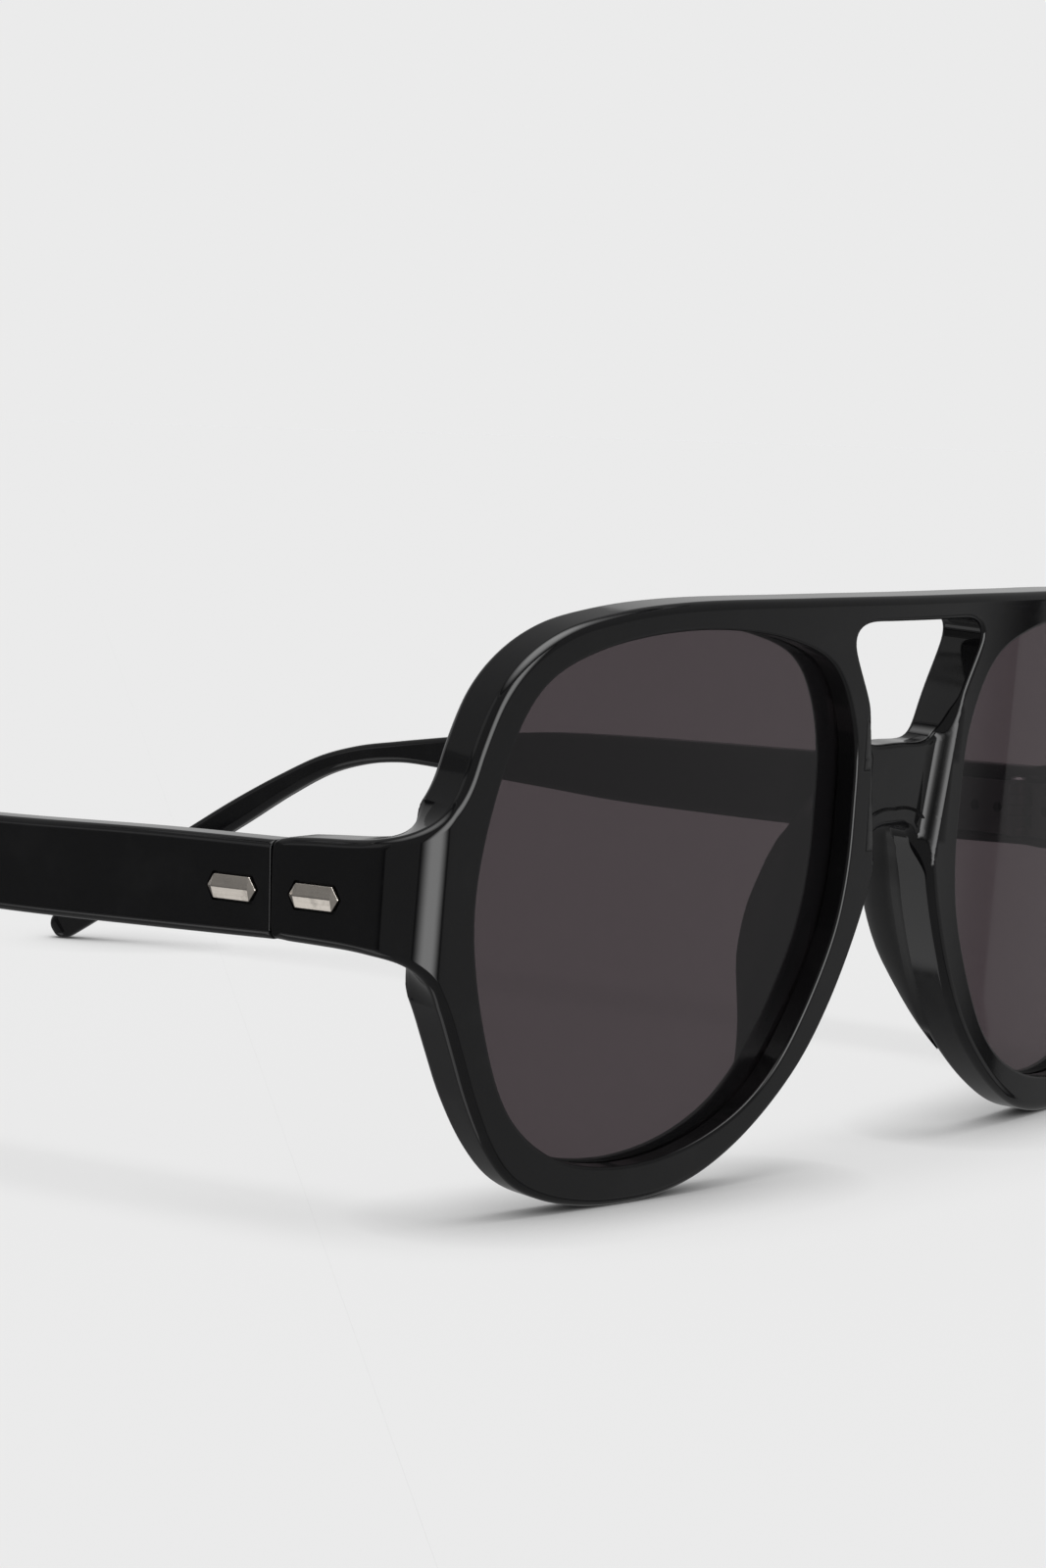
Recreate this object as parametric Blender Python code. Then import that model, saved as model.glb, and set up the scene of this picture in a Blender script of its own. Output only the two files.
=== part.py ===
"""Aviator sunglasses of the navigator kind, as the pieces they are assembled from.

The pair stands open on the bottoms of its rims and the tips of its temples.
Metres, +Z up. The front faces -Y, the temples run along +Y and the wearer's left is +X.
"""
import math

import bmesh
import bpy
from mathutils import Vector
from mathutils.geometry import delaunay_2d_cdt

MM = 0.001

# The front is a plate, given as outlines in (across, up) on its outer face and bent after that.
PLATE_THICK = 5.0
THICKEN = 0.5                # the plate is this much thicker towards its end pieces
THICKEN_FROM, THICKEN_TO = 30.0, 55.0
THICKEN_LOW, THICKEN_HIGH = 6.0, 20.0  # and only above the lower edge
END_THICK = PLATE_THICK + THICKEN
BASE_RADIUS = 285.0          # wrap of the front round the face
FRONT_TILT = math.radians(3.4)
CORNER_START = 62.4          # distance across where the front turns back into the end piece
CORNER_RADIUS = 5.7
TILT_END = 3.0               # the tilt has faded out this far before the seam
SPLAY = math.radians(1.7)    # the end pieces and temples open outwards by this much
PLATE_END = 79.35             # distance across where the end piece stops, at the seam
SEAM_GAP = 0.3
EDGE_ROUND = 0.9
BACK_ROUND = 0.9
SEAM_NIP = 1.0               # chamfer of the end piece's corners at the seam
OPENING_NIP, WINDOW_NIP = 0.3, 0.4

# Upper outline from the middle of the brow bar to the end piece, as (across, up).
TOP_OUTLINE = [(0, 55.3), (18, 55.3), (36, 55.1), (44.5, 54.3), (50.8, 52.9), (55.3, 50.4),
               (58.3, 47.2), (60.4, 42.6), (61.5, 38.9), (62.9, 36.8), (65.6, 35.2),
               (70, 34.4), (75, 34.15), (PLATE_END, 33.9)]
# Lower outline from the end piece round the rim to the arch over the nose.
LOWER_OUTLINE = [(PLATE_END, 24.7), (75, 24.65), (70, 24.45), (65.8, 24.0), (63.4, 22.4), (61.9, 19.9),
                 (60.4, 15.6), (58.4, 10.9), (55.9, 6.6), (52.6, 3.2), (48.4, 1.3), (43.2, 0.25),
                 (38.3, 0.0), (33.4, 0.3), (28.4, 1.5), (23.2, 3.9), (18.2, 7.3), (14.0, 11.2),
                 (10.7, 15.7), (8.0, 20.6), (5.9, 25.5), (4.6, 29.6), (3.6, 31.8), (1.9, 32.4),
                 (0, 32.4)]
OPENING_OUTLINE = [(59.4, 28.4), (56.9, 41.6), (53.4, 47.8), (47.1, 50.9), (34.1, 52.6),
                   (20.8, 51.3), (14.0, 48.5), (10.3, 42.1), (9.7, 34.9), (9.9, 28.4),
                   (11.4, 22.3), (17.6, 11.9), (22.2, 7.9), (27.9, 5.3), (34.1, 3.9),
                   (40.7, 3.7), (47.6, 5.1), (53.2, 9.1), (56.6, 15.5)]
WINDOW_OUTLINE = [(0, 52.9), (5, 52.9), (9.8, 52.75), (11.6, 51.7), (10.7, 49.5), (8.6, 46.0),
                  (7.2, 43.2), (6.5, 41.5), (4.9, 40.8), (0, 40.8)]
STEP = 2.1                   # spacing of points along an outline
BRIDGE_RECESS = 1.6
BRIDGE_SIDE = [(7.4, 43.6), (4.6, 28.0)]

# The lens lies in a groove round its opening, both measured back from the outer face.
GROOVE_DEPTH = 1.1
GROOVE_FRONT, GROOVE_BACK = 2.2, 4.3
LENS_FRONT, LENS_BACK = 2.5, 4.0
LENS_OVERLAP = 0.8
LENS_EDGE = 0.2

# Nose pads: they follow the lower outline from the nose side of the rim up to the arch.
PAD_BOTTOM = 7.6             # up
PAD_LOW_END, PAD_MIDDLE = 24.0, 0.4    # across
PAD_STATIONS = 17
PAD_REACH = 5.7
PAD_GAP = 0.3
# The pad's reach, as (share of its length from its lower end, share of PAD_REACH).
PAD_SWELL = [(0.0, 0.08), (0.2, 0.42), (0.4, 0.87), (0.58, 1.0), (0.75, 0.9), (0.9, 0.58),
             (1.0, 0.48)]
PAD_NARROW = 0.45            # width left where a pad has no reach, as a share
# A pad's section, as (distance in from the outline, share of the reach).
PAD_SECTION = [(0.5, 0.0), (0.7, 0.4), (1.8, 0.8), (3.5, 1.0), (4.6, 0.93), (4.8, 0.7),
               (3.9, 0.35), (3.3, 0.0)]

# Hinge: the axis stands upright on the inside of the seam. Local x runs outwards from it.
AXIS_INSET = 1.05            # from the axis out to the inner face of the end piece
HINGE_Z = 29.0
KNUCKLE_RADIUS = 1.25
KNUCKLE_HEIGHT = 1.12
KNUCKLE_GAP = 0.08
KNUCKLES = 5
BORE_RADIUS = 0.6
SCREW_RADIUS = 0.55
SCREW_HEAD_RADIUS = 0.95
SCREW_HEAD_HEIGHT = 0.6
SCREW_HEAD_CLEAR = 0.2
SCREW_STAND = 0.1            # the head stands this far above the top knuckle
LEAF_THICK = 1.0
LEAF_INNER = 0.4             # local x of the leaf's inner side
LEAF_START, LEAF_END = 1.6, 9.2
LEAF_CLEAR = 0.3
LEAF_ROOM_LOW = -2.0         # local x where the leaf's pocket starts
LEAF_ROOM_PAST = 1.5         # how far the pocket runs past the axis
WEB_START, WEB_LAP = 0.2, 0.6          # the web of a knuckle, from the axis into the leaf
WEB_INSET, WEB_THICK = 0.02, 0.8
PIN_RADIUS = 0.5
PIN_HOLE_RADIUS = 0.6
ROUND_STEPS = 16

# Plaques: long hexagons with a ridge, each with two pins through to the hinge leaf.
PLAQUE_LENGTH, PLAQUE_HEIGHT = 5.6, 2.2
PLAQUE_POINT = 0.75          # length of each pointed end
PLAQUE_SINK, PLAQUE_PROUD, PLAQUE_RIDGE = 0.25, 0.2, 0.5
PLAQUE_CLEAR = 0.3
PLAQUE_FLOOR = 0.3           # room left under the plaque
PIN_PAST_LEAF = 0.1
CUT_PAST = 3.0               # how far a cutter stands clear of the surface it cuts
FRONT_PLAQUE_Y, TEMPLE_PLAQUE_Y = -4.9, 4.5
PIN_SPREAD = 1.5

# Temple stations: (distance back from the seam, up, height, thickness).
TEMPLE_STATIONS = [(0.0, 29.15, 8.85, 4.2), (13.5, 28.95, 9.0, 4.1), (32.5, 28.6, 8.8, 3.9),
                   (46.5, 28.6, 8.5, 3.8), (60.5, 28.65, 7.95, 3.7), (73.5, 28.75, 6.65, 3.5),
                   (82.5, 28.55, 5.25, 3.3), (89.5, 28.3, 3.9, 3.2), (96.5, 27.9, 2.7, 3.1),
                   (102.5, 27.0, 2.55, 3.1), (107.5, 25.5, 2.65, 3.1), (113.5, 22.4, 3.0, 3.1),
                   (119.5, 18.65, 3.5, 3.1), (125.5, 14.6, 3.6, 3.1), (131.5, 10.3, 3.7, 3.1),
                   (137.5, 5.8, 3.8, 3.0), (140.7, 3.45, 3.8, 2.9), (142.8, 2.0, 3.7, 2.8),
                   (143.6, 1.42, 3.1, 2.4), (144.15, 1.04, 2.0, 1.8)]
TEMPLE_ROWS = 34
CURL_START = 85.5            # where the temple starts to curve in behind the head
CURL_DEPTH = 15.5            # how far the tip has curved in
TEMPLE_ROUND = 0.95
WIRE_RADIUS = 0.5
CHANNEL_RADIUS = 0.86
CHANNEL_DROP = 2.3           # the core passes this far under the rivets of the hinge
WIRE_START, WIRE_END, CHANNEL_END = 0.4, 127.5, 128.5
DROP_LEVEL, DROP_SLOPE = 10.0, 30.0    # the core runs low for this long, then rises in this
SECTION_SHARE = 0.32         # the most of a section that its rounded corner takes up
ROW_CROWDING = 0.8           # below 1, rows stand closer together towards the tip

BLACK = (0.012, 0.012, 0.013, 1.0)
SMOKE = (0.045, 0.038, 0.041, 1.0)
SILVER = (0.62, 0.58, 0.53, 1.0)
STEEL = (0.45, 0.45, 0.46, 1.0)
SIDES = {"left": 1, "right": -1}


def clear_scene():
    """Remove every object that is already in the file."""
    for thing in list(bpy.data.objects):
        bpy.data.objects.remove(thing, do_unlink=True)


def finish(name, color, roughness, metallic):
    """A plain material for one piece."""
    material = bpy.data.materials.new(name)
    material.use_nodes = True
    shader = material.node_tree.nodes["Principled BSDF"]
    shader.inputs["Base Color"].default_value = color
    shader.inputs["Roughness"].default_value = roughness
    shader.inputs["Metallic"].default_value = metallic
    return material


def add_object(name, verts, faces, material, parent=None, side=1):
    """Make an object from millimetre points. On the right side (-X) it is mirrored."""
    mesh = bpy.data.meshes.new(name)
    points = [(side * x * MM, y * MM, z * MM) for x, y, z in verts]
    mesh.from_pydata(points, [], [f if side > 0 else tuple(reversed(f)) for f in faces])
    mesh.materials.append(material)
    shape = bmesh.new()
    shape.from_mesh(mesh)
    bmesh.ops.recalc_face_normals(shape, faces=shape.faces)
    bmesh.ops.triangulate(shape, faces=shape.faces)
    shape.to_mesh(mesh)
    shape.free()
    mesh.shade_smooth()
    mesh.set_sharp_from_angle(angle=math.radians(40))
    thing = bpy.data.objects.new(name, mesh)
    thing.parent = parent
    bpy.context.scene.collection.objects.link(thing)
    return thing


def add_cutter(name, verts, faces, material, group, parent=None, side=1):
    """A hidden solid that Booleans use, put in the collection they read."""
    thing = add_object(name, verts, faces, material, parent, side)
    thing.hide_render = True
    thing.display_type = "WIRE"
    bpy.context.scene.collection.objects.unlink(thing)
    group.objects.link(thing)
    return thing


def apply_group(thing, group, operation):
    """Cut a group of solids out of an object, or join them to it."""
    boolean = thing.modifiers.new(group.name, "BOOLEAN")
    boolean.operation = operation
    boolean.operand_type = "COLLECTION"
    boolean.collection = group


def new_group(name):
    """A collection for the solids of one Boolean."""
    group = bpy.data.collections.new(name)
    bpy.context.scene.collection.children.link(group)
    return group


def smooth_path(points, closed):
    """Points about STEP apart on a centripetal Catmull-Rom curve through a few given ones."""
    points = [Vector(p) for p in points]
    count = len(points)
    spans = count if closed else count - 1

    def given(i):
        if closed:
            return points[i % count]
        if i < 0:
            return 2 * points[0] - points[1]
        if i >= count:
            return 2 * points[-1] - points[-2]
        return points[i]

    result = []
    for i in range(spans):
        p0, p1, p2, p3 = (given(i + k) for k in (-1, 0, 1, 2))
        t1 = (p1 - p0).length ** 0.5
        t2 = t1 + (p2 - p1).length ** 0.5
        t3 = t2 + (p3 - p2).length ** 0.5
        steps = max(1, round((p2 - p1).length / STEP))
        for k in range(steps):
            t = t1 + (t2 - t1) * k / steps
            a1 = p0.lerp(p1, t / t1)
            a2 = p1.lerp(p2, (t - t1) / (t2 - t1))
            a3 = p2.lerp(p3, (t - t2) / (t3 - t2))
            b1 = a1.lerp(a2, t / t2)
            b2 = a2.lerp(a3, (t - t1) / (t3 - t1))
            result.append(b1.lerp(b2, (t - t1) / (t2 - t1)))
    if not closed:
        result.append(points[-1])
    return result


def both_halves(half):
    """Close a half outline that starts and ends on the middle line with its mirror image."""
    return half + [Vector((-p.x, p.y)) for p in reversed(half[1:-1])]


def offset_loop(loop, distance):
    """Move a closed loop's points towards its inner side by a distance."""
    area = sum(a.x * b.y - b.x * a.y for a, b in zip(loop, loop[1:] + loop[:1]))
    turn = 1 if area > 0 else -1
    moved = []
    for i, point in enumerate(loop):
        back = (point - loop[i - 1]).normalized()
        ahead = (loop[(i + 1) % len(loop)] - point).normalized()
        along = (back + ahead).normalized()
        normal = Vector((-along.y, along.x)) * turn
        stretch = max(0.5, normal.dot(Vector((-ahead.y, ahead.x)) * turn))
        moved.append(point + normal * distance / stretch)
    return moved


def front_outline():
    """The closed outline of the front, with small chamfers at the ends of the end pieces."""
    top = smooth_path(TOP_OUTLINE, False)
    low = smooth_path(LOWER_OUTLINE, False)
    top[-1] = top[-1] - Vector((SEAM_NIP, 0))
    low[0] = low[0] - Vector((SEAM_NIP, 0))
    end = [Vector((PLATE_END, TOP_OUTLINE[-1][1] - SEAM_NIP)),
           Vector((PLATE_END, LOWER_OUTLINE[0][1] + SEAM_NIP))]
    return both_halves(top + end + low)


def bend(across, up, depth):
    """Where a point of the flat plate goes once the front is bent and tilted."""
    side = -1 if across < 0 else 1
    across = abs(across)
    share = min(1.0, max(0.0, (across - THICKEN_FROM) / (THICKEN_TO - THICKEN_FROM)))
    rise = min(1.0, max(0.0, (up - THICKEN_LOW) / (THICKEN_HIGH - THICKEN_LOW)))
    grown = THICKEN * share * share * (3 - 2 * share) * rise * rise * (3 - 2 * rise)
    depth += grown * min(1.0, depth / PLATE_THICK)
    start = CORNER_START / BASE_RADIUS
    finish_turn = math.pi / 2 - SPLAY
    corner_length = (finish_turn - start) * CORNER_RADIUS
    if across <= CORNER_START:
        turn = across / BASE_RADIUS
        x = (BASE_RADIUS - depth) * math.sin(turn)
        y = BASE_RADIUS - (BASE_RADIUS - depth) * math.cos(turn)
    else:
        turn = min(start + (across - CORNER_START) / CORNER_RADIUS, finish_turn)
        straight = max(0.0, across - CORNER_START - corner_length)
        middle_x = (BASE_RADIUS - CORNER_RADIUS) * math.sin(start)
        middle_y = BASE_RADIUS - (BASE_RADIUS - CORNER_RADIUS) * math.cos(start)
        x = middle_x + (CORNER_RADIUS - depth) * math.sin(turn) + straight * math.cos(turn)
        y = middle_y - (CORNER_RADIUS - depth) * math.cos(turn) + straight * math.sin(turn)
    level = PLATE_END - TILT_END
    fade = min(1.0, max(0.0, (level - across) / (level - CORNER_START)))
    fade = fade * fade * (3 - 2 * fade)
    lean = math.tan(FRONT_TILT) * fade
    return (side * x, y - up * lean, up + depth * lean)


def fill_between(loops):
    """Triangles that fill the first loop, leaving out the loops inside it."""
    points = [p for loop in loops for p in loop]
    edges = []
    first = 0
    for loop in loops:
        size = len(loop)
        edges += [(first + i, first + (i + 1) % size) for i in range(size)]
        first += size
    result = delaunay_2d_cdt([Vector(p) for p in points], edges, [], 0, 1e-6)
    triangles = []
    for face in result[2]:
        centre = sum((result[0][i] for i in face), Vector((0, 0))) / len(face)
        if not is_inside(centre, loops[0]) or any(is_inside(centre, hole) for hole in loops[1:]):
            continue
        triangles.append(tuple(result[3][i][0] for i in face))
    return triangles


def is_inside(point, loop):
    """Whether a point lies inside a closed loop."""
    inside = False
    for a, b in zip(loop, loop[1:] + loop[:1]):
        if (a.y > point.y) != (b.y > point.y):
            if point.x < a.x + (point.y - a.y) * (b.x - a.x) / (b.y - a.y):
                inside = not inside
    return inside


def plate_solid(outlines, profiles):
    """A solid between two filled faces, with a profile of (inset, depth) down each outline."""
    verts = []
    faces = []
    first_loops = []
    last_loops = []
    first_index = []
    last_index = []
    for number, (outline, profile) in enumerate(zip(outlines, profiles)):
        sign = 1 if number == 0 else -1
        rings = []
        for inset, depth in profile:
            ring = offset_loop(outline, sign * inset)
            rings.append([len(verts) + i for i in range(len(ring))])
            verts += [(p.x, p.y, depth) for p in ring]
            if len(rings) == 1:
                first_loops.append(ring)
            last = ring
        last_loops.append(last)
        first_index += rings[0]
        last_index += rings[-1]
        size = len(outline)
        for upper, lower in zip(rings, rings[1:]):
            faces += [(upper[i], upper[(i + 1) % size], lower[(i + 1) % size], lower[i])
                      for i in range(size)]
    faces += [tuple(first_index[i] for i in face) for face in fill_between(first_loops)]
    faces += [tuple(last_index[i] for i in face) for face in fill_between(last_loops)]
    return verts, faces


def prism(outline, low, high):
    """A prism over an outline in (x, y), from one height to another."""
    size = len(outline)
    verts = [(x, y, low) for x, y in outline] + [(x, y, high) for x, y in outline]
    faces = [tuple(range(size)), tuple(range(size, 2 * size))]
    faces += [(i, (i + 1) % size, size + (i + 1) % size, size + i) for i in range(size)]
    return verts, faces


def box(low, high):
    """A box between two corners."""
    outline = [(low[0], low[1]), (high[0], low[1]), (high[0], high[1]), (low[0], high[1])]
    return prism(outline, low[2], high[2])


def circle(radius, steps=ROUND_STEPS):
    """Points round a circle."""
    turns = [2 * math.pi * (i + 0.5) / steps for i in range(steps)]
    return [(radius * math.cos(t), radius * math.sin(t)) for t in turns]


def cross_rod(radius, x_low, x_high, y, z):
    """A rod along x."""
    verts, faces = prism(circle(radius), x_low, x_high)
    return [(h, y + a, z + b) for a, b, h in verts], faces


def loft(rings, capped=(True, True)):
    """Join rings of equal length with quads, and close the ends that ask for it."""
    size = len(rings[0])
    verts = [p for ring in rings for p in ring]
    faces = []
    for row in range(len(rings) - 1):
        a, b = row * size, (row + 1) * size
        faces += [(a + i, a + (i + 1) % size, b + (i + 1) % size, b + i) for i in range(size)]
    if capped[0]:
        faces.append(tuple(range(size)))
    if capped[1]:
        faces.append(tuple(range(len(verts) - size, len(verts))))
    return verts, faces


def temple_row(distance):
    """Centre, height, thickness and forward direction of the temple at a distance back."""
    rows = TEMPLE_STATIONS
    index = max(i for i in range(len(rows) - 1) if rows[i][0] <= distance)
    a, b = rows[index], rows[index + 1]
    before = rows[max(0, index - 1)]
    after = rows[min(len(rows) - 1, index + 2)]
    span = b[0] - a[0]
    t = min(1.0, (distance - a[0]) / span)
    values = []
    for k in (1, 2, 3):
        slope_a = (b[k] - before[k]) / max(b[0] - before[0], 1e-6) * span
        slope_b = (after[k] - a[k]) / max(after[0] - a[0], 1e-6) * span
        values.append((2 * t ** 3 - 3 * t ** 2 + 1) * a[k] + (t ** 3 - 2 * t ** 2 + t) * slope_a
                      + (3 * t ** 2 - 2 * t ** 3) * b[k] + (t ** 3 - t ** 2) * slope_b)
    up, height, thick = values
    curl_share = max(0.0, distance - CURL_START) / (rows[-1][0] - CURL_START)
    outer = AXIS_INSET + END_THICK - CURL_DEPTH * curl_share ** 2
    return Vector((outer - thick / 2, distance + SEAM_GAP, up - HINGE_Z)), height, thick


def temple_frame(distance):
    """The temple's row with the two directions across it."""
    centre, height, thick = temple_row(distance)
    step = 0.5
    ahead = temple_row(min(distance + step, TEMPLE_STATIONS[-1][0]))[0]
    behind = temple_row(max(distance - step, 0.0))[0]
    along = (ahead - behind).normalized()
    if distance < step:
        along = Vector((0, 1, 0))
    upward = (Vector((0, 0, 1)) - along * along.z).normalized()
    outward = along.cross(upward).normalized()
    return centre, height, thick, outward, upward


def temple_distances(last):
    """Distances of the rows, even along the shaft and closer together round the bend."""
    return [last * (i / (TEMPLE_ROWS - 1)) ** ROW_CROWDING for i in range(TEMPLE_ROWS)]


def section_ring(distance):
    """Eight points round the temple: a tall shape with rounded corners."""
    centre, height, thick, outward, upward = temple_frame(distance)
    round_off = min(TEMPLE_ROUND, SECTION_SHARE * height, SECTION_SHARE * thick)
    a, b = thick / 2, height / 2
    shape = [(a, b - round_off), (a - round_off, b), (round_off - a, b), (-a, b - round_off),
             (-a, round_off - b), (round_off - a, -b), (a - round_off, -b), (a, round_off - b)]
    return [centre + outward * u + upward * v for u, v in shape]


def core_ring(distance, radius):
    """Eight points round the core, which dips under the rivets at the front."""
    centre, _, _, outward, upward = temple_frame(distance)
    dip = max(0.0, 1 - max(0.0, distance - DROP_LEVEL) / DROP_SLOPE)
    dip = CHANNEL_DROP * dip * dip * (3 - 2 * dip)
    return [centre + outward * u + upward * (v - dip) for u, v in circle(radius, 8)]


def temple_solid():
    """The temple with a blind channel for its core, open at the seam."""
    outside = [section_ring(d) for d in temple_distances(TEMPLE_STATIONS[-1][0])]
    channel = [core_ring(d, CHANNEL_RADIUS) for d in temple_distances(CHANNEL_END)]
    verts, faces = loft(outside, (False, True))
    more_verts, more_faces = loft(channel, (False, True))
    shift = len(verts)
    faces += [tuple(shift + i for i in reversed(face)) for face in more_faces]
    verts += more_verts
    rims = [[Vector((p.x, p.z)) for p in outside[0]], [Vector((p.x, p.z)) for p in channel[0]]]
    index = list(range(len(rims[0]))) + [shift + i for i in range(len(rims[1]))]
    faces += [tuple(index[i] for i in face) for face in fill_between(rims)]
    return verts, faces


def core_solid():
    """The stiffening wire inside the temple."""
    span = WIRE_END - WIRE_START
    rows = [WIRE_START + d for d in temple_distances(span)]
    return loft([core_ring(d, WIRE_RADIUS) for d in rows])


def swell_at(share):
    """A pad's reach at a share of its length, as a share of PAD_REACH."""
    for (a, low), (b, high) in zip(PAD_SWELL, PAD_SWELL[1:]):
        if share <= b:
            t = (share - a) / (b - a)
            return low + (high - low) * t * t * (3 - 2 * t)
    return PAD_SWELL[-1][1]


def pad_solid():
    """A nose pad: it stands on the back of the rim and flares out behind the lens."""
    path = [p for p in smooth_path(LOWER_OUTLINE, False)
            if p.y > PAD_BOTTOM and PAD_MIDDLE < p.x < PAD_LOW_END]
    rings = []
    for i in range(PAD_STATIONS):
        share = i / (PAD_STATIONS - 1)
        place = share * (len(path) - 1)
        k = min(int(place), len(path) - 2)
        point = path[k].lerp(path[k + 1], place - k)
        after = path[min(k + 2, len(path) - 1)]
        along = (after - path[max(k - 1, 0)]).normalized()
        inward = Vector((along.y, -along.x))
        swell = swell_at(share)
        width = PAD_NARROW + (1 - PAD_NARROW) * swell
        base = PLATE_THICK + PAD_GAP
        ring = []
        for across, rise in PAD_SECTION:
            spot = point + inward * across * width
            ring.append(bend(spot.x, spot.y, base + rise * PAD_REACH * swell))
        rings.append(ring)
    return loft(rings)


def lens_solid():
    """The lens, a curved sheet a little larger than its opening."""
    opening = smooth_path(OPENING_OUTLINE, True)
    edge = [(LENS_EDGE - LENS_OVERLAP, LENS_FRONT), (-LENS_OVERLAP, LENS_FRONT + LENS_EDGE),
            (-LENS_OVERLAP, LENS_BACK - LENS_EDGE), (LENS_EDGE - LENS_OVERLAP, LENS_BACK)]
    rings = [(offset_loop(opening, inset), depth) for inset, depth in edge]
    middle = sum(opening, Vector((0, 0))) / len(opening)
    verts = []
    faces = []
    size = len(opening)
    shrink = (0.0, 0.35, 0.7)
    sheets = [[middle.lerp(p, s) for p in rings[0][0]] for s in shrink[1:]]
    rows = [(sheets[0], LENS_FRONT), (sheets[1], LENS_FRONT)] + rings
    rows += [(sheets[1], LENS_BACK), (sheets[0], LENS_BACK)]
    for row, depth in rows:
        verts += [bend(p.x, p.y, depth) for p in row]
    for k in range(len(rows) - 1):
        a, b = k * size, (k + 1) * size
        faces += [(a + i, a + (i + 1) % size, b + (i + 1) % size, b + i) for i in range(size)]
    for first, depth in ((0, LENS_FRONT), ((len(rows) - 1) * size, LENS_BACK)):
        verts.append(bend(middle.x, middle.y, depth))
        hub = len(verts) - 1
        faces += [(hub, first + i, first + (i + 1) % size) for i in range(size)]
    return verts, faces


def knuckle_span(number):
    """Lowest and highest point of one knuckle, counted from below."""
    pitch = KNUCKLE_HEIGHT + KNUCKLE_GAP
    low = (number - KNUCKLES / 2) * pitch + KNUCKLE_GAP / 2
    return low, low + KNUCKLE_HEIGHT


def leaf_pieces(direction, numbers):
    """The solids that make up a hinge leaf: its plate, and a barrel and web for each knuckle."""
    half = KNUCKLES * (KNUCKLE_HEIGHT + KNUCKLE_GAP) / 2
    ends = sorted((direction * LEAF_START, direction * LEAF_END))
    plate = box((LEAF_INNER, ends[0], -half), (LEAF_INNER + LEAF_THICK, ends[1], half))
    pieces = []
    for number in numbers:
        low, high = knuckle_span(number)
        web = sorted((direction * WEB_START, direction * (LEAF_START + WEB_LAP)))
        pieces.append(prism(circle(KNUCKLE_RADIUS), low, high))
        inner = LEAF_INNER + WEB_INSET
        pieces.append(box((inner, web[0], low), (inner + WEB_THICK, web[1], high)))
    return plate, pieces


def plaque_solid(middle_y):
    """A long hexagon with a ridge along it, and its two pins."""
    outer = AXIS_INSET + END_THICK
    half, tall = PLAQUE_LENGTH / 2, PLAQUE_HEIGHT / 2
    hexagon = [(-half, 0), (PLAQUE_POINT - half, -tall), (half - PLAQUE_POINT, -tall),
               (half, 0), (half - PLAQUE_POINT, tall), (PLAQUE_POINT - half, tall)]
    base = outer - PLAQUE_SINK
    brim = outer + PLAQUE_PROUD
    ridge = outer + PLAQUE_RIDGE
    verts = [(base, middle_y + a, b) for a, b in hexagon]
    verts += [(brim, middle_y + a, b) for a, b in hexagon]
    verts += [(ridge, middle_y - half + PLAQUE_POINT, 0), (ridge, middle_y + half - PLAQUE_POINT, 0)]
    faces = [(i, (i + 1) % 6, 6 + (i + 1) % 6, 6 + i) for i in range(6)]
    faces += [(6, 7, 12), (7, 8, 13, 12), (8, 9, 13), (9, 10, 13), (10, 11, 12, 13), (11, 6, 12)]
    loops = [[Vector((middle_y + a, b)) for a, b in hexagon]]
    index = list(range(6))
    pin_end = LEAF_INNER - PIN_PAST_LEAF
    for y in (middle_y - PIN_SPREAD, middle_y + PIN_SPREAD):
        ring = [(y + a, b) for a, b in circle(PIN_RADIUS)]
        top = len(verts)
        verts += [(base, a, b) for a, b in ring]
        verts += [(pin_end, a, b) for a, b in ring]
        size = len(ring)
        faces += [(top + i, top + (i + 1) % size, top + size + (i + 1) % size, top + size + i)
                  for i in range(size)]
        faces.append(tuple(range(top + size, top + 2 * size)))
        loops.append([Vector(p) for p in ring])
        index += list(range(top, top + size))
    faces += [tuple(index[i] for i in face) for face in fill_between(loops)]
    return verts, faces


def screw_solid():
    """The hinge screw, which is the hinge's pin: a shank with a flat round head on top."""
    low = knuckle_span(0)[0]
    high = knuckle_span(KNUCKLES - 1)[1] + SCREW_STAND
    rings = [[(x, y, z) for x, y in circle(radius)] for radius, z in (
        (SCREW_RADIUS, low), (SCREW_RADIUS, high), (SCREW_HEAD_RADIUS, high),
        (SCREW_HEAD_RADIUS, high + SCREW_HEAD_HEIGHT * 0.6),
        (SCREW_HEAD_RADIUS * 0.75, high + SCREW_HEAD_HEIGHT))]
    return loft(rings)


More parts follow.
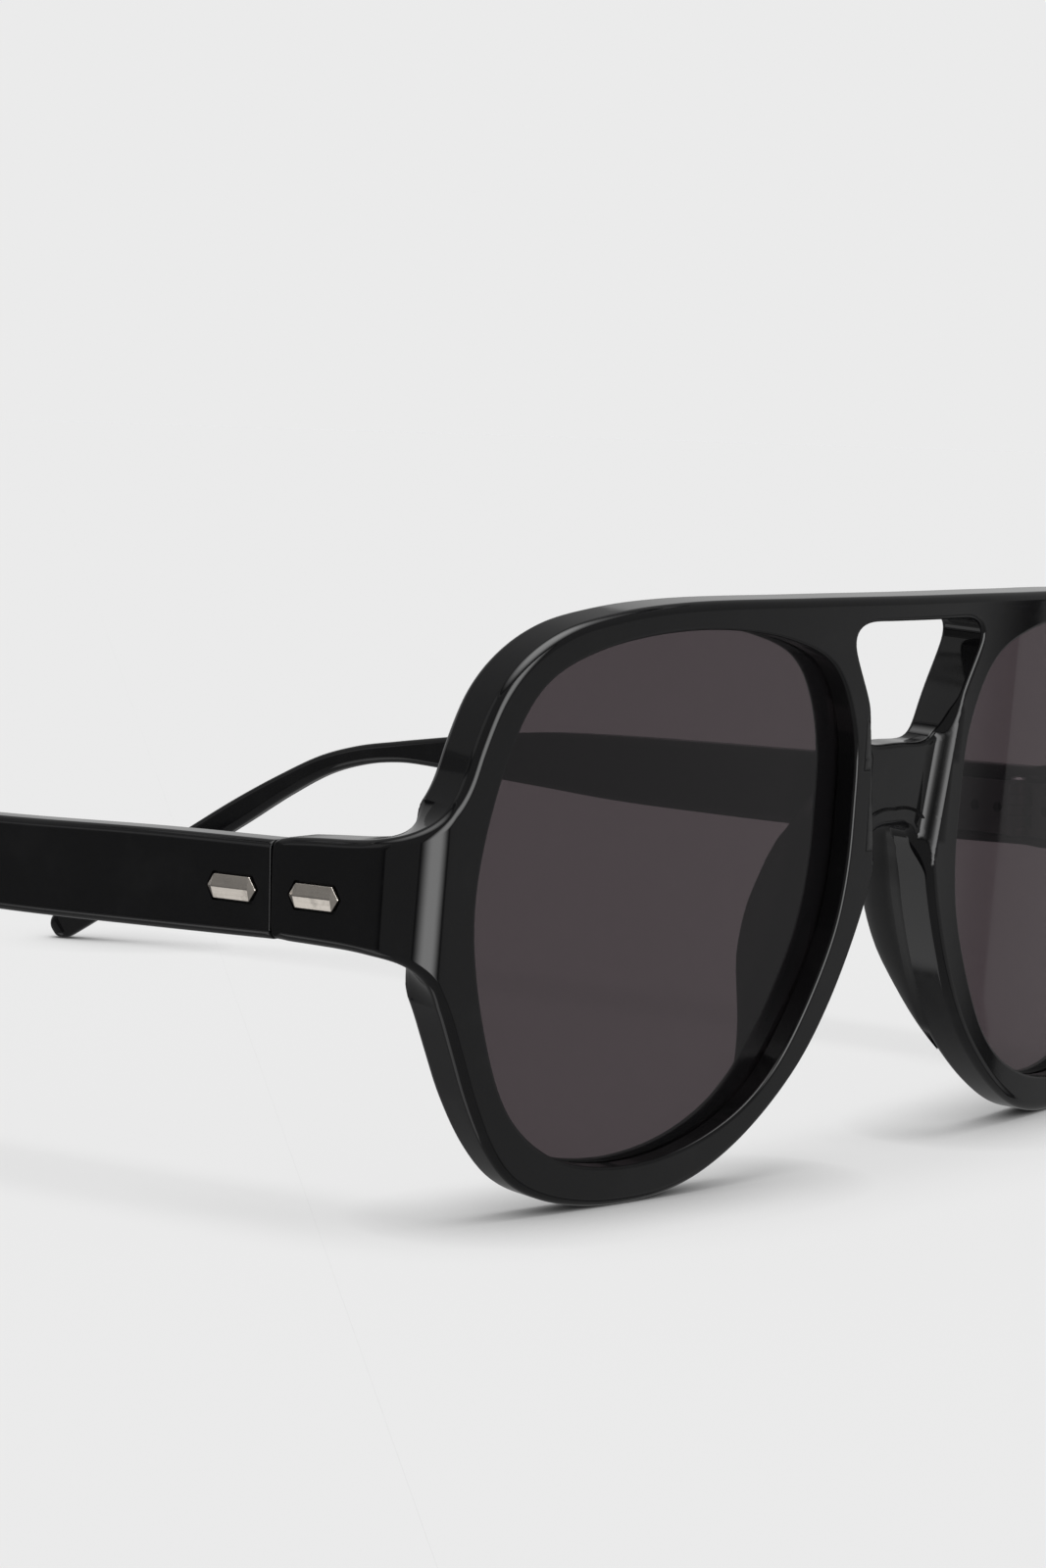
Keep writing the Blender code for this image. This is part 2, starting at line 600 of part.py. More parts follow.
def pockets(direction, plaque_y):
    """What is cut into the acetate: a pocket for the leaf, one for the plaque, and pin holes."""
    half = KNUCKLES * (KNUCKLE_HEIGHT + KNUCKLE_GAP) / 2 + LEAF_CLEAR
    outer = AXIS_INSET + END_THICK
    ends = sorted((-direction * LEAF_ROOM_PAST, direction * (LEAF_END + LEAF_CLEAR)))
    deep = LEAF_INNER + LEAF_THICK + LEAF_CLEAR
    high = half + SCREW_HEAD_HEIGHT + SCREW_HEAD_CLEAR
    leaf_room = box((LEAF_ROOM_LOW, ends[0], -half), (deep, ends[1], high))
    long = PLAQUE_LENGTH / 2 + PLAQUE_CLEAR
    tall = PLAQUE_HEIGHT / 2 + PLAQUE_CLEAR
    hexagon = [(-long, 0), (PLAQUE_POINT - long, -tall), (long - PLAQUE_POINT, -tall),
               (long, 0), (long - PLAQUE_POINT, tall), (PLAQUE_POINT - long, tall)]
    verts, faces = prism(hexagon, outer - PLAQUE_SINK - PLAQUE_FLOOR, outer + CUT_PAST)
    plaque_room = ([(h, plaque_y + a, b) for a, b, h in verts], faces)
    holes = [cross_rod(PIN_HOLE_RADIUS, deep - CUT_PAST / 4, outer + CUT_PAST, plaque_y + shift, 0)
             for shift in (-PIN_SPREAD, PIN_SPREAD)]
    return [leaf_room, plaque_room] + holes


def hinge_place():
    """World position of the hinge axis on the left side, in millimetres."""
    seam_x, seam_y, _ = bend(PLATE_END, HINGE_Z, 0)
    inset = AXIS_INSET + END_THICK
    return Vector((seam_x - inset * math.cos(SPLAY), seam_y + inset * math.sin(SPLAY), HINGE_Z))


def make_front(material, root):
    """The acetate front: rims, brow bar, recessed lower bridge and end pieces in one plate."""
    outline = front_outline()
    opening = smooth_path(OPENING_OUTLINE, True)
    mirrored = [Vector((-p.x, p.y)) for p in opening]
    window = both_halves(smooth_path(WINDOW_OUTLINE, False))
    back = PLATE_THICK
    edge = [(EDGE_ROUND, 0), (0.25 * EDGE_ROUND, 0.25 * EDGE_ROUND), (0, EDGE_ROUND),
            (0, back - BACK_ROUND), (BACK_ROUND, back)]
    hole = [(OPENING_NIP, 0), (0, OPENING_NIP), (0, GROOVE_FRONT), (GROOVE_DEPTH, GROOVE_FRONT),
            (GROOVE_DEPTH, GROOVE_BACK), (0, GROOVE_BACK), (0, back)]
    gap = [(WINDOW_NIP, 0), (0, WINDOW_NIP), (0, back - WINDOW_NIP), (WINDOW_NIP, back)]
    verts, faces = plate_solid([outline, opening, mirrored, window], [edge, hole, hole, gap])
    front = add_object("front_frame", [bend(*p) for p in verts], faces, material, root)
    cuts = new_group("front_cuts")
    sides = [(x, z) for x, z in BRIDGE_SIDE] + [(-x, z) for x, z in reversed(BRIDGE_SIDE)]
    verts, faces = prism(sides, -CUT_PAST, BRIDGE_RECESS)
    add_cutter("bridge_cut", [bend(*p) for p in verts], faces, material, cuts, root)
    return front, cuts


def place_hinge(side_name, root):
    """An empty on the hinge axis, turned along the temple."""
    side = SIDES[side_name]
    axis = bpy.data.objects.new(side_name + "_hinge_axis", None)
    place = hinge_place()
    axis.location = (side * place.x * MM, place.y * MM, place.z * MM)
    axis.rotation_euler.z = -side * SPLAY
    axis.parent = root
    bpy.context.scene.collection.objects.link(axis)
    return axis


def make_leaf(name, direction, numbers, plaque_y, material, axis, side):
    """A hinge leaf with its knuckles joined on and its bore and pin holes drilled."""
    plate, pieces = leaf_pieces(direction, numbers)
    leaf = add_object(name, *plate, material, axis, side)
    joined = new_group(name + "_knuckles")
    for i, (verts, faces) in enumerate(pieces):
        add_cutter(f"{name}_knuckle_{i}", verts, faces, material, joined, axis, side)
    apply_group(leaf, joined, "UNION")
    drilled = new_group(name + "_holes")
    bore = prism(circle(BORE_RADIUS), -5.0, 5.0)
    add_cutter(name + "_bore", *bore, material, drilled, axis, side)
    for i, shift in enumerate((-PIN_SPREAD, PIN_SPREAD)):
        rod = cross_rod(PIN_HOLE_RADIUS, 0.0, 3.0, plaque_y + shift, 0)
        add_cutter(f"{name}_pin_hole_{i}", *rod, material, drilled, axis, side)
    apply_group(leaf, drilled, "DIFFERENCE")
    return leaf


def make_side(side_name, front_cuts, materials, root):
    """Everything on one side: lens, pad, hinge, plaques, temple and its core."""
    side = SIDES[side_name]
    axis = place_hinge(side_name, root)
    black, smoke, silver, steel = materials
    add_object("lens_" + side_name, *lens_solid(), smoke, root, side)
    add_object("nose_pad_" + side_name, *pad_solid(), black, root, side)
    for i, (verts, faces) in enumerate(pockets(-1, FRONT_PLAQUE_Y)):
        add_cutter(f"front_pocket_{side_name}_{i}", verts, faces, black, front_cuts, axis, side)
    temple_cuts = new_group("temple_cuts_" + side_name)
    temple = add_object("temple_" + side_name, *temple_solid(), black, axis, side)
    for i, (verts, faces) in enumerate(pockets(1, TEMPLE_PLAQUE_Y)):
        add_cutter(f"temple_pocket_{side_name}_{i}", verts, faces, black, temple_cuts, axis, side)
    apply_group(temple, temple_cuts, "DIFFERENCE")
    add_object("temple_core_" + side_name, *core_solid(), steel, axis, side)
    make_leaf("front_hinge_leaf_" + side_name, -1, (0, 2, 4), FRONT_PLAQUE_Y, steel, axis, side)
    make_leaf("temple_hinge_leaf_" + side_name, 1, (1, 3), TEMPLE_PLAQUE_Y, steel, axis, side)
    add_object("hinge_screw_" + side_name, *screw_solid(), steel, axis, side)
    add_object("front_plaque_" + side_name, *plaque_solid(FRONT_PLAQUE_Y), silver, axis, side)
    add_object("temple_plaque_" + side_name, *plaque_solid(TEMPLE_PLAQUE_Y), silver, axis, side)


def centre_on_floor(root):
    """Move the whole pair so that the middle of its bounding box stands on the origin."""
    bpy.context.view_layer.update()
    spots = []
    for thing in bpy.data.objects:
        if thing.type == "MESH" and not thing.hide_render:
            spots += [thing.matrix_world @ v.co for v in thing.data.vertices]
    low = [min(p[k] for p in spots) for k in range(3)]
    high = [max(p[k] for p in spots) for k in range(3)]
    root.location = (-(low[0] + high[0]) / 2, -(low[1] + high[1]) / 2, -low[2])


def main():
    """Build every piece."""
    clear_scene()
    root = bpy.data.objects.new("sunglasses", None)
    bpy.context.scene.collection.objects.link(root)
    black = finish("black acetate", BLACK, 0.12, 0.0)
    smoke = finish("smoke lens", SMOKE, 0.05, 0.0)
    silver = finish("polished nickel silver", SILVER, 0.2, 1.0)
    steel = finish("hinge steel", STEEL, 0.3, 1.0)
    front, front_cuts = make_front(black, root)
    for side_name in SIDES:
        make_side(side_name, front_cuts, (black, smoke, silver, steel), root)
    apply_group(front, front_cuts, "DIFFERENCE")
    centre_on_floor(root)


main()
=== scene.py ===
"""Aviator sunglasses of the navigator kind, standing with their temples open in a pale studio.

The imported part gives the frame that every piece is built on. Sizes are in millimetres and
are turned into metres when a mesh is made. The front faces -Y, the temples run along +Y
and the wearer's left is +X.
"""
import math

import bmesh
import bpy
import numpy as np
from mathutils import Matrix, Vector
from mathutils.geometry import delaunay_2d_cdt
from mathutils.kdtree import KDTree


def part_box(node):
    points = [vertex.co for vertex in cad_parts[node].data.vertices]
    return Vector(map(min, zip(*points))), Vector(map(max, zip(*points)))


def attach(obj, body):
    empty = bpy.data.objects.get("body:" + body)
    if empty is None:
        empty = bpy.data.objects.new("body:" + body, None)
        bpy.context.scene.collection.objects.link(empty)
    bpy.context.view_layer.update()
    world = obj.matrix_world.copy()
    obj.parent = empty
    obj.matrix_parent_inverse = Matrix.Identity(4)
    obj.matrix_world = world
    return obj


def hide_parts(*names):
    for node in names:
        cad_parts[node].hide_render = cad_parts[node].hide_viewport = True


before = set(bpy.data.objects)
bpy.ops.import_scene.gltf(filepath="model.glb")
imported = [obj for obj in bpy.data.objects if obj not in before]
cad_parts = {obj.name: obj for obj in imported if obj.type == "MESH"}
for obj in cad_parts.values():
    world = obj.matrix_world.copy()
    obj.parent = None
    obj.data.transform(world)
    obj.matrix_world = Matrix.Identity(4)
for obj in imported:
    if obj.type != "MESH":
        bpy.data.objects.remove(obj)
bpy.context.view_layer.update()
scene = bpy.context.scene
MM = 0.001

# --------------------------------------------------------------------------------------
# Camera, floor and light: a plain pale floor in a white surround, one broad lamp overhead
# and a few soft panels that only show as reflections in the polished plastic and metal.
# Where the glasses stand close to the floor, an occlusion node dims the floor's own glow: tight
# soft shadows painted into it.
# --------------------------------------------------------------------------------------
CAMERA_PLACE = (-334.75, -296.63, 71.65)
CAMERA_TURN = math.radians(52.12)       # how far the camera stands round towards -X
CAMERA_DIP = math.radians(5.198)
CAMERA_ROLL = math.radians(1.772)
CAMERA_LENS = 93.55

camera_data = bpy.data.cameras.new("camera")
camera_data.sensor_width = 36.0
camera_data.lens = CAMERA_LENS
camera_data.clip_start = 0.01
camera = bpy.data.objects.new("camera", camera_data)
scene.collection.objects.link(camera)
camera.matrix_world = (Matrix.Translation(Vector(CAMERA_PLACE) * MM)
                       @ Matrix.Rotation(-CAMERA_TURN, 4, "Z")
                       @ Matrix.Rotation(math.pi / 2 - CAMERA_DIP, 4, "X")
                       @ Matrix.Rotation(CAMERA_ROLL, 4, "Z"))
scene.camera = camera
scene.view_settings.view_transform = "Standard"


class Wire:
    """A node's output. Arithmetic on it adds Math nodes to the same tree."""

    def __init__(self, shading, socket):
        self.shading = shading
        self.socket = socket

    def math(self, operation, *values):
        """A Math node on these values, which are wires or numbers."""
        return self.shading.add("ShaderNodeMath", {"operation": operation},
                                dict(enumerate(values)))

    def __add__(self, other):
        return self.math("ADD", self, other)

    def __sub__(self, other):
        return self.math("SUBTRACT", self, other)

    def __rsub__(self, other):
        return self.math("SUBTRACT", other, self)

    def __mul__(self, other):
        return self.math("MULTIPLY", self, other)

    __radd__ = __add__
    __rmul__ = __mul__

    def between(self, low, high):
        """0 below low, 1 above high, and smooth from one to the other."""
        return self.shading.add("ShaderNodeMapRange", {"interpolation_type": "SMOOTHSTEP"},
                                {"Value": self, "From Min": low, "From Max": high})


class Shading:
    """The node tree of one material, which starts with its output only."""

    def __init__(self, name):
        self.material = bpy.data.materials.new(name)
        self.material.use_nodes = True
        self.tree = self.material.node_tree
        self.tree.nodes.clear()

    def add(self, kind, settings=None, sockets=None, output=0):
        """A node of a kind, with its settings, and the values or links of its sockets."""
        node = self.tree.nodes.new(kind)
        for name, value in (settings or {}).items():
            setattr(node, name, value)
        for name, value in (sockets or {}).items():
            if isinstance(value, Wire):
                self.tree.links.new(value.socket, node.inputs[name])
            else:
                node.inputs[name].default_value = value
        return Wire(self, node.outputs[output])

    def surface(self, shader):
        """Make this shader the material's surface."""
        output = self.tree.nodes.new("ShaderNodeOutputMaterial")
        self.tree.links.new(shader.socket, output.inputs["Surface"])
        return self.material


def new_object(name, mesh, material):
    """An object at the origin for a mesh that is already in its place."""
    mesh.materials.clear()
    mesh.materials.append(material)
    thing = bpy.data.objects.new(name, mesh)
    scene.collection.objects.link(thing)
    return thing


def sheet(name, corners, material):
    """A flat four-sided stage piece."""
    mesh = bpy.data.meshes.new(name)
    mesh.from_pydata([tuple(c) for c in corners], [], [(0, 1, 2, 3)])
    thing = new_object(name, mesh, material)
    return thing


def glow(name, strength):
    """A surface that gives off even white light."""
    shading = Shading(name)
    return shading.surface(shading.add("ShaderNodeEmission", {}, {"Strength": strength}))


FLOOR_REACH = 12.0
SURROUND_REACH = 12.5
SURROUND_LIGHT = 0.831
ROOM_LIGHT = 0.22
LAMP_LIGHT = 2.58
LAMP_SPREAD = math.radians(36)

FLOOR_SHADE = 0.24           # share of the lamp's light that the floor sends back
FLOOR_GLOW = 0.58            # the floor's own light, away from the glasses
PAINTED_SHADOW_REACH = 0.013        # how near the glasses the painted shadow starts to dim the floor's glow, in metres
PAINTED_SHADOW_DEPTH = 1.3          # above 1, the painted shadow darkens faster

floor_paint = Shading("pale floor")
# Painted shadow: the floor's glow is dimmed by ambient occlusion where the glasses stand near it.
painted_shadow_occlusion = floor_paint.add("ShaderNodeAmbientOcclusion", {}, {"Distance": PAINTED_SHADOW_REACH}, 1)
glow_with_painted_shadow = painted_shadow_occlusion.math("POWER", painted_shadow_occlusion, PAINTED_SHADOW_DEPTH) * FLOOR_GLOW
shade = (FLOOR_SHADE, FLOOR_SHADE, FLOOR_SHADE, 1)
floor_shader = floor_paint.add("ShaderNodeBsdfPrincipled", {}, {
    "Base Color": shade, "Roughness": 1.0, "Specular IOR Level": 0.0,
    "Emission Color": glow_with_painted_shadow, "Emission Strength": 1.0})
floor_corners = [(x * FLOOR_REACH, y * FLOOR_REACH, 0)
                 for x, y in ((-1, -1), (1, -1), (1, 1), (-1, 1))]
floor = sheet("floor", floor_corners, floor_paint.surface(floor_shader))
floor.visible_glossy = False

surround_mesh = bpy.data.meshes.new("surround")
surround_shape = bmesh.new()
bmesh.ops.create_uvsphere(surround_shape, u_segments=48, v_segments=24, radius=SURROUND_REACH)
surround_shape.to_mesh(surround_mesh)
surround_shape.free()
surround = new_object("surround", surround_mesh, glow("white surround", SURROUND_LIGHT))
surround.visible_diffuse = False
surround.visible_glossy = False
surround.visible_shadow = False

room = bpy.data.worlds.new("room")
room.use_nodes = True
room.node_tree.nodes["Background"].inputs["Color"].default_value = (1, 1, 1, 1)
room.node_tree.nodes["Background"].inputs["Strength"].default_value = ROOM_LIGHT
scene.world = room

lamp_data = bpy.data.lights.new("overhead lamp", "SUN")
lamp_data.energy = LAMP_LIGHT
lamp_data.angle = LAMP_SPREAD
lamp = bpy.data.objects.new("overhead lamp", lamp_data)
lamp.visible_glossy = False
scene.collection.objects.link(lamp)

# Each panel: name, azimuth range from the front towards +X, elevation range, strength, and
# how many degrees it takes to come up to that strength from its sides and from below.
PANELS = [
    ("key", (-47, 9), (-20, 45), 4.2, 22, 4),
    ("top", (-180, 180), (50, 90), 4.2, 0, 30),
    ("top edge", (-180, 180), (47, 56), 0.45, 0, 2),
    ("back", (90, 200), (0, 20), 0.5, 6, 3),
    ("side", (-160, -95), (-18, 20), 0.12, 8, 5),
    ("side high", (-148, -108), (22, 50), 0.45, 5, 4),
    ("low", (-150, -108), (-62, -31), 0.9, 4, 4),
    ("front fill", (4, 68), (-40, 5), 0.32, 8, 8),
]
PANEL_DISTANCE = 4.0
PANEL_STEPS = 32


def towards(azimuth, elevation, distance):
    """A point in a direction from the middle of the sunglasses."""
    turn, rise = math.radians(azimuth), math.radians(elevation)
    return Vector((math.sin(turn) * math.cos(rise), -math.cos(turn) * math.cos(rise),
                   math.sin(rise))) * distance


def soft_glow(name, strength):
    """Emission that follows the panel's own share of its full strength."""
    shading = Shading(name)
    share = shading.add("ShaderNodeAttribute", {"attribute_name": "share"}, {}, 2)
    return shading.surface(shading.add("ShaderNodeEmission", {},
                                       {"Color": share, "Strength": strength}))


def light_panel(name, azimuths, elevations, strength, side_fade, low_fade):
    """A curved panel of light with soft edges that only reflections show."""
    steps = PANEL_STEPS
    width, height = azimuths[1] - azimuths[0], elevations[1] - elevations[0]
    verts, shares = [], []
    for k in range(steps + 1):
        rise = height * k / steps
        for i in range(steps + 1):
            along = width * i / steps
            side = min(along, width - along)
            share = 1.0
            for reached, fade in ((side, side_fade), (rise, low_fade)):
                t = min(1.0, reached / fade) if fade else 1.0
                share *= t * t * (3 - 2 * t)
            verts.append(towards(azimuths[0] + along, elevations[0] + rise, PANEL_DISTANCE))
            shares.append(share)
    faces = [(k * (steps + 1) + i, k * (steps + 1) + i + 1, (k + 1) * (steps + 1) + i + 1,
              (k + 1) * (steps + 1) + i) for k in range(steps) for i in range(steps)]
    mesh = bpy.data.meshes.new(name)
    mesh.from_pydata(verts, [], faces)
    mesh.attributes.new("share", "FLOAT", "POINT").data.foreach_set("value", shares)
    panel = new_object(name, mesh, soft_glow(name, strength))
    panel.visible_camera = False
    panel.visible_diffuse = False
    panel.visible_shadow = False
    panel.visible_transmission = False


for panel in PANELS:
    light_panel(*panel)

# --------------------------------------------------------------------------------------
# Front: one plate of black acetate, milled with its lens openings and window, set back
# at the bridge, hot-bent at the end pieces and tumbled until it shines.
# --------------------------------------------------------------------------------------
PLATE_THICK = 5.0
THICKEN = 0.5                # the plate is this much thicker towards its end pieces
THICKEN_FROM, THICKEN_TO = 30.0, 55.0
THICKEN_LOW, THICKEN_HIGH = 6.0, 20.0
THIN_BELOW, THIN_SHARE = 13.0, 0.2     # the rims' lower edges are thinner by this share
END_THICK = PLATE_THICK + THICKEN
WRAP_RADIUS = 285.0          # wrap of the front round the face
FRONT_TILT = math.radians(3.4)
CORNER_START = 62.4          # distance across where the front turns back into the end piece
CORNER_RADIUS = 5.7
TILT_END = 3.0               # the tilt has faded out this far before the seam
SPLAY = math.radians(1.7)
PLATE_END = 79.35            # distance across where the end piece meets its temple
HINGE_Z = 29.0
AXIS_INSET = 1.05            # how far the hinge axis stands inside the end piece
SPACING = 0.3                # between points along an outline
FRONT_ROUND = 0.95           # rounding of the front edge
BACK_ROUND = 1.0
SEAM_ROUND = 0.12            # rounding where the end piece meets its temple
SEAM_NIP = 0.45              # rounding of the end piece's own corners, seen from the side
OPENING_ROUND = 0.4          # rounding of a lens opening's front edge
OPENING_BACK_ROUND = 0.2
WINDOW_ROUND = 0.55
GROOVE_FRONT, GROOVE_BACK, GROOVE_DEPTH = 2.2, 4.3, 1.1
CRISP = 0.04                 # width of the narrow facet that stands for a crisp edge
CORNER_DONE = 73.0           # distance across where the corner is well past its bend
FILL_CLEAR = 0.22            # filling spots keep this far from the edges
FILL_WIDE, FILL_TIGHT = 1.5, 0.4       # their spacing across, on the flat and at the corners
FILL_UP, FILL_BRIDGE, FILL_STEP = 1.3, 0.45, 0.15
BRIDGE_RECESS = 1.6
BRIDGE_STEP = 1.8            # width over which the bridge steps back
BRIDGE_HALF = 7.4            # half width of the recess at the window's lower corners
BRIDGE_CORNER_UP = 43.6
BRIDGE_FADE = 3.0            # height over which the recess fades out above the window's corners
BRIDGE_TAPER = 2.8 / 15.6    # how fast the recess narrows downwards
RECESS_FRONT, RECESS_DEEP = 1.2, 3.0   # it fades out over this much depth, from this depth

# Outlines as (across, up) on the plate before it is bent, from the middle outwards.
TOP_OUTLINE = [(0, 55.3), (18, 55.3), (36, 55.1), (44.5, 54.3), (50.8, 52.9), (55.3, 50.4),
               (58.3, 47.2), (60.4, 42.6), (61.6, 39.1), (63.2, 36.9), (66.2, 35.25),
               (70.4, 34.4), (75, 34.15), (PLATE_END - SEAM_NIP, 33.9)]
LOWER_OUTLINE = [(PLATE_END - SEAM_NIP, 24.7), (75, 24.65), (70, 24.4), (66.2, 23.65),
                 (63.8, 21.9), (62.2, 19.4), (60.4, 15.4), (58.4, 10.9), (55.9, 6.6),
                 (52.6, 3.2), (48.4, 1.3), (43.2, 0.25), (38.3, 0.0), (33.4, 0.3),
                 (28.4, 1.5), (23.2, 3.9), (18.2, 7.3), (14.0, 11.2), (10.7, 15.7),
                 (8.0, 20.6), (5.9, 25.5), (4.6, 29.6), (3.6, 31.8), (1.9, 32.4), (0, 32.4)]
OPENING_OUTLINE = [(59.4, 28.4), (56.9, 41.6), (53.4, 47.8), (47.1, 50.9), (34.1, 52.6),
                   (20.8, 51.3), (14.0, 48.5), (10.3, 42.1), (9.7, 34.9), (9.9, 28.4),
                   (11.4, 22.3), (17.6, 11.9), (22.2, 7.9), (27.9, 5.3), (34.1, 3.9),
                   (40.7, 3.7), (47.6, 5.1), (53.2, 9.1), (56.6, 15.5)]
WINDOW_OUTLINE = [(0, 52.9), (5, 52.9), (9.8, 52.75), (11.6, 51.7), (10.7, 49.5), (8.6, 46.0),
                  (7.2, 43.2), (6.5, 41.5), (4.9, 40.8), (0, 40.8)]


def catmull(points, closed):
    """A dense curve through a few points, centripetal so that it never overshoots."""
    points = [np.array(p, float) for p in points]
    count = len(points)
    curve = []
    for i in range(count if closed else count - 1):
        p1, p2 = points[i], points[(i + 1) % count]
        p0 = points[i - 1] if closed or i > 0 else 2 * p1 - p2
        p3 = points[(i + 2) % count] if closed or i + 2 < count else 2 * p2 - p1
        t1 = np.linalg.norm(p1 - p0) ** 0.5
        t2 = t1 + np.linalg.norm(p2 - p1) ** 0.5
        t3 = t2 + np.linalg.norm(p3 - p2) ** 0.5
        steps = max(2, int(np.linalg.norm(p2 - p1) / 0.1))
        for t in t1 + (t2 - t1) * np.arange(steps) / steps:
            a1 = p0 + (p1 - p0) * t / t1
            a2 = p1 + (p2 - p1) * (t - t1) / (t2 - t1)
            a3 = p2 + (p3 - p2) * (t - t2) / (t3 - t2)
            b1 = a1 + (a2 - a1) * t / t2
            b2 = a2 + (a3 - a2) * (t - t1) / (t3 - t1)
            curve.append(b1 + (b2 - b1) * (t - t1) / (t2 - t1))
    if not closed:
        curve.append(points[-1])
    return np.array(curve)


def even_loop(curve, spacing, ease=24):
    """A closed loop with even spacing, its bends eased so that highlights run smoothly."""
    closed = np.vstack([curve, curve[:1]])
    lengths = np.concatenate([[0], np.cumsum(np.linalg.norm(np.diff(closed, axis=0), axis=1))])
    count = int(lengths[-1] / spacing)
    places = np.arange(count) * lengths[-1] / count
    loop = np.stack([np.interp(places, lengths, closed[:, k]) for k in (0, 1)], 1)
    for _ in range(ease):
        loop = 0.5 * loop + 0.25 * (np.roll(loop, 1, 0) + np.roll(loop, -1, 0))
    return loop


def whole_loop(half):
    """Close a half outline that starts and ends on the middle line with its mirror image."""
    curve = catmull(half, False)
    other = curve[::-1][1:-1] * (-1, 1)
    return even_loop(np.vstack([curve, other]), SPACING)


def loop_normals(loop, solid_inside):
    """At each point of a loop, the direction into the solid."""
    ahead = np.roll(loop, -1, 0) - np.roll(loop, 1, 0)
    ahead /= np.linalg.norm(ahead, axis=1)[:, None]
    area = np.sum(loop[:, 0] * np.roll(loop[:, 1], -1) - np.roll(loop[:, 0], -1) * loop[:, 1])
    turn = 1 if (area > 0) == solid_inside else -1
    return np.stack([-ahead[:, 1], ahead[:, 0]], 1) * turn


def smooth(values):
    """0 to 1 with level ends."""
    t = np.clip(values, 0, 1)
    return t * t * (3 - 2 * t)


def recess(across, up):
    """How far the front face is set back at the bridge."""
    half = BRIDGE_HALF - (BRIDGE_CORNER_UP - up) * BRIDGE_TAPER
    inside = smooth((half - np.abs(across)) / BRIDGE_STEP + 0.5)
    return BRIDGE_RECESS * inside * (1 - smooth((up - BRIDGE_CORNER_UP) / BRIDGE_FADE))


def bend(points):
    """Where points of the flat plate, as (across, up, depth), are once it is bent."""
    across, up = np.abs(points[:, 0]), points[:, 1]
    share = smooth((across - THICKEN_FROM) / (THICKEN_TO - THICKEN_FROM))
    share = share * smooth((up - THICKEN_LOW) / (THICKEN_HIGH - THICKEN_LOW))
    thin = 1 - THIN_SHARE * (1 - smooth(up / THIN_BELOW))
    depth = points[:, 2] * thin + THICKEN * share * np.minimum(1, points[:, 2] / PLATE_THICK)
    start, last = CORNER_START / WRAP_RADIUS, math.pi / 2 - SPLAY
    corner = across > CORNER_START
    turn = np.where(corner, np.minimum(start + (across - CORNER_START) / CORNER_RADIUS, last),
                    across / WRAP_RADIUS)
    radius = np.where(corner, CORNER_RADIUS, WRAP_RADIUS)
    straight = np.maximum(0, across - CORNER_START - (last - start) * CORNER_RADIUS)
    x = ((WRAP_RADIUS - radius) * math.sin(start) + (radius - depth) * np.sin(turn)
         + straight * np.cos(turn))
    y = (WRAP_RADIUS - (WRAP_RADIUS - radius) * math.cos(start)
         - (radius - depth) * np.cos(turn) + straight * np.sin(turn))
    level = PLATE_END - TILT_END
    fade = smooth((level - across) / (level - CORNER_START))
    lean = math.tan(FRONT_TILT) * fade
    return np.stack([np.where(points[:, 0] < 0, -x, x), y - up * lean, up + depth * lean], 1)


def recessed(points):
    """Plate points with the bridge's recess, which fades out towards the back."""
    share = 1 - smooth((points[:, 2] - RECESS_FRONT) / RECESS_DEEP)
    moved = points.copy()
    moved[:, 2] += recess(points[:, 0], points[:, 1]) * share
    return moved


def carried_normals(points, normals, mapping):
    """Turn surface normals the way a mapping of space turns the surface."""
    step = 0.004
    columns = [(mapping(points + np.eye(3)[k] * step) - mapping(points - np.eye(3)[k] * step))
               / (2 * step) for k in range(3)]
    a, b, c = columns
    carried = (np.cross(b, c) * normals[:, :1] + np.cross(c, a) * normals[:, 1:2]
               + np.cross(a, b) * normals[:, 2:])
    flip = np.sign(np.einsum("ij,ij->i", np.cross(a, b), c))[:, None]
    return carried * flip / np.linalg.norm(carried, axis=1)[:, None]


def is_inside(spots, loop):
    """Which spots lie inside a closed loop."""
    inside = np.zeros(len(spots), bool)
    for (ax, ay), (bx, by) in zip(loop, np.roll(loop, -1, 0)):
        crosses = (ay > spots[:, 1]) != (by > spots[:, 1])
        if crosses.any():
            at = ax + (spots[:, 1] - ay) * (bx - ax) / (by - ay if by != ay else 1e-9)
            inside ^= crosses & (spots[:, 0] < at)
    return inside


def fill_points():
    """Spots over the plate, close together at the bent corners and along the recess."""
    flat = np.arange(0, CORNER_START - 1, FILL_WIDE)
    corner = np.arange(CORNER_START - 1, CORNER_DONE, FILL_TIGHT)
    straight = np.arange(CORNER_DONE, PLATE_END, FILL_WIDE)
    ups = np.arange(0.7, 55.5, FILL_UP)
    grid = [(x, z) for x in np.concatenate([flat, corner, straight]) for z in ups]
    for z in np.arange(29.0, 44.0, FILL_BRIDGE):
        half = BRIDGE_HALF - (BRIDGE_CORNER_UP - z) * BRIDGE_TAPER
        grid += [(half + shift, z) for shift in np.arange(-0.75, 0.76, FILL_STEP)]
    grid = np.array(grid)
    return np.vstack([grid, grid[grid[:, 0] > 0] * (-1, 1)])


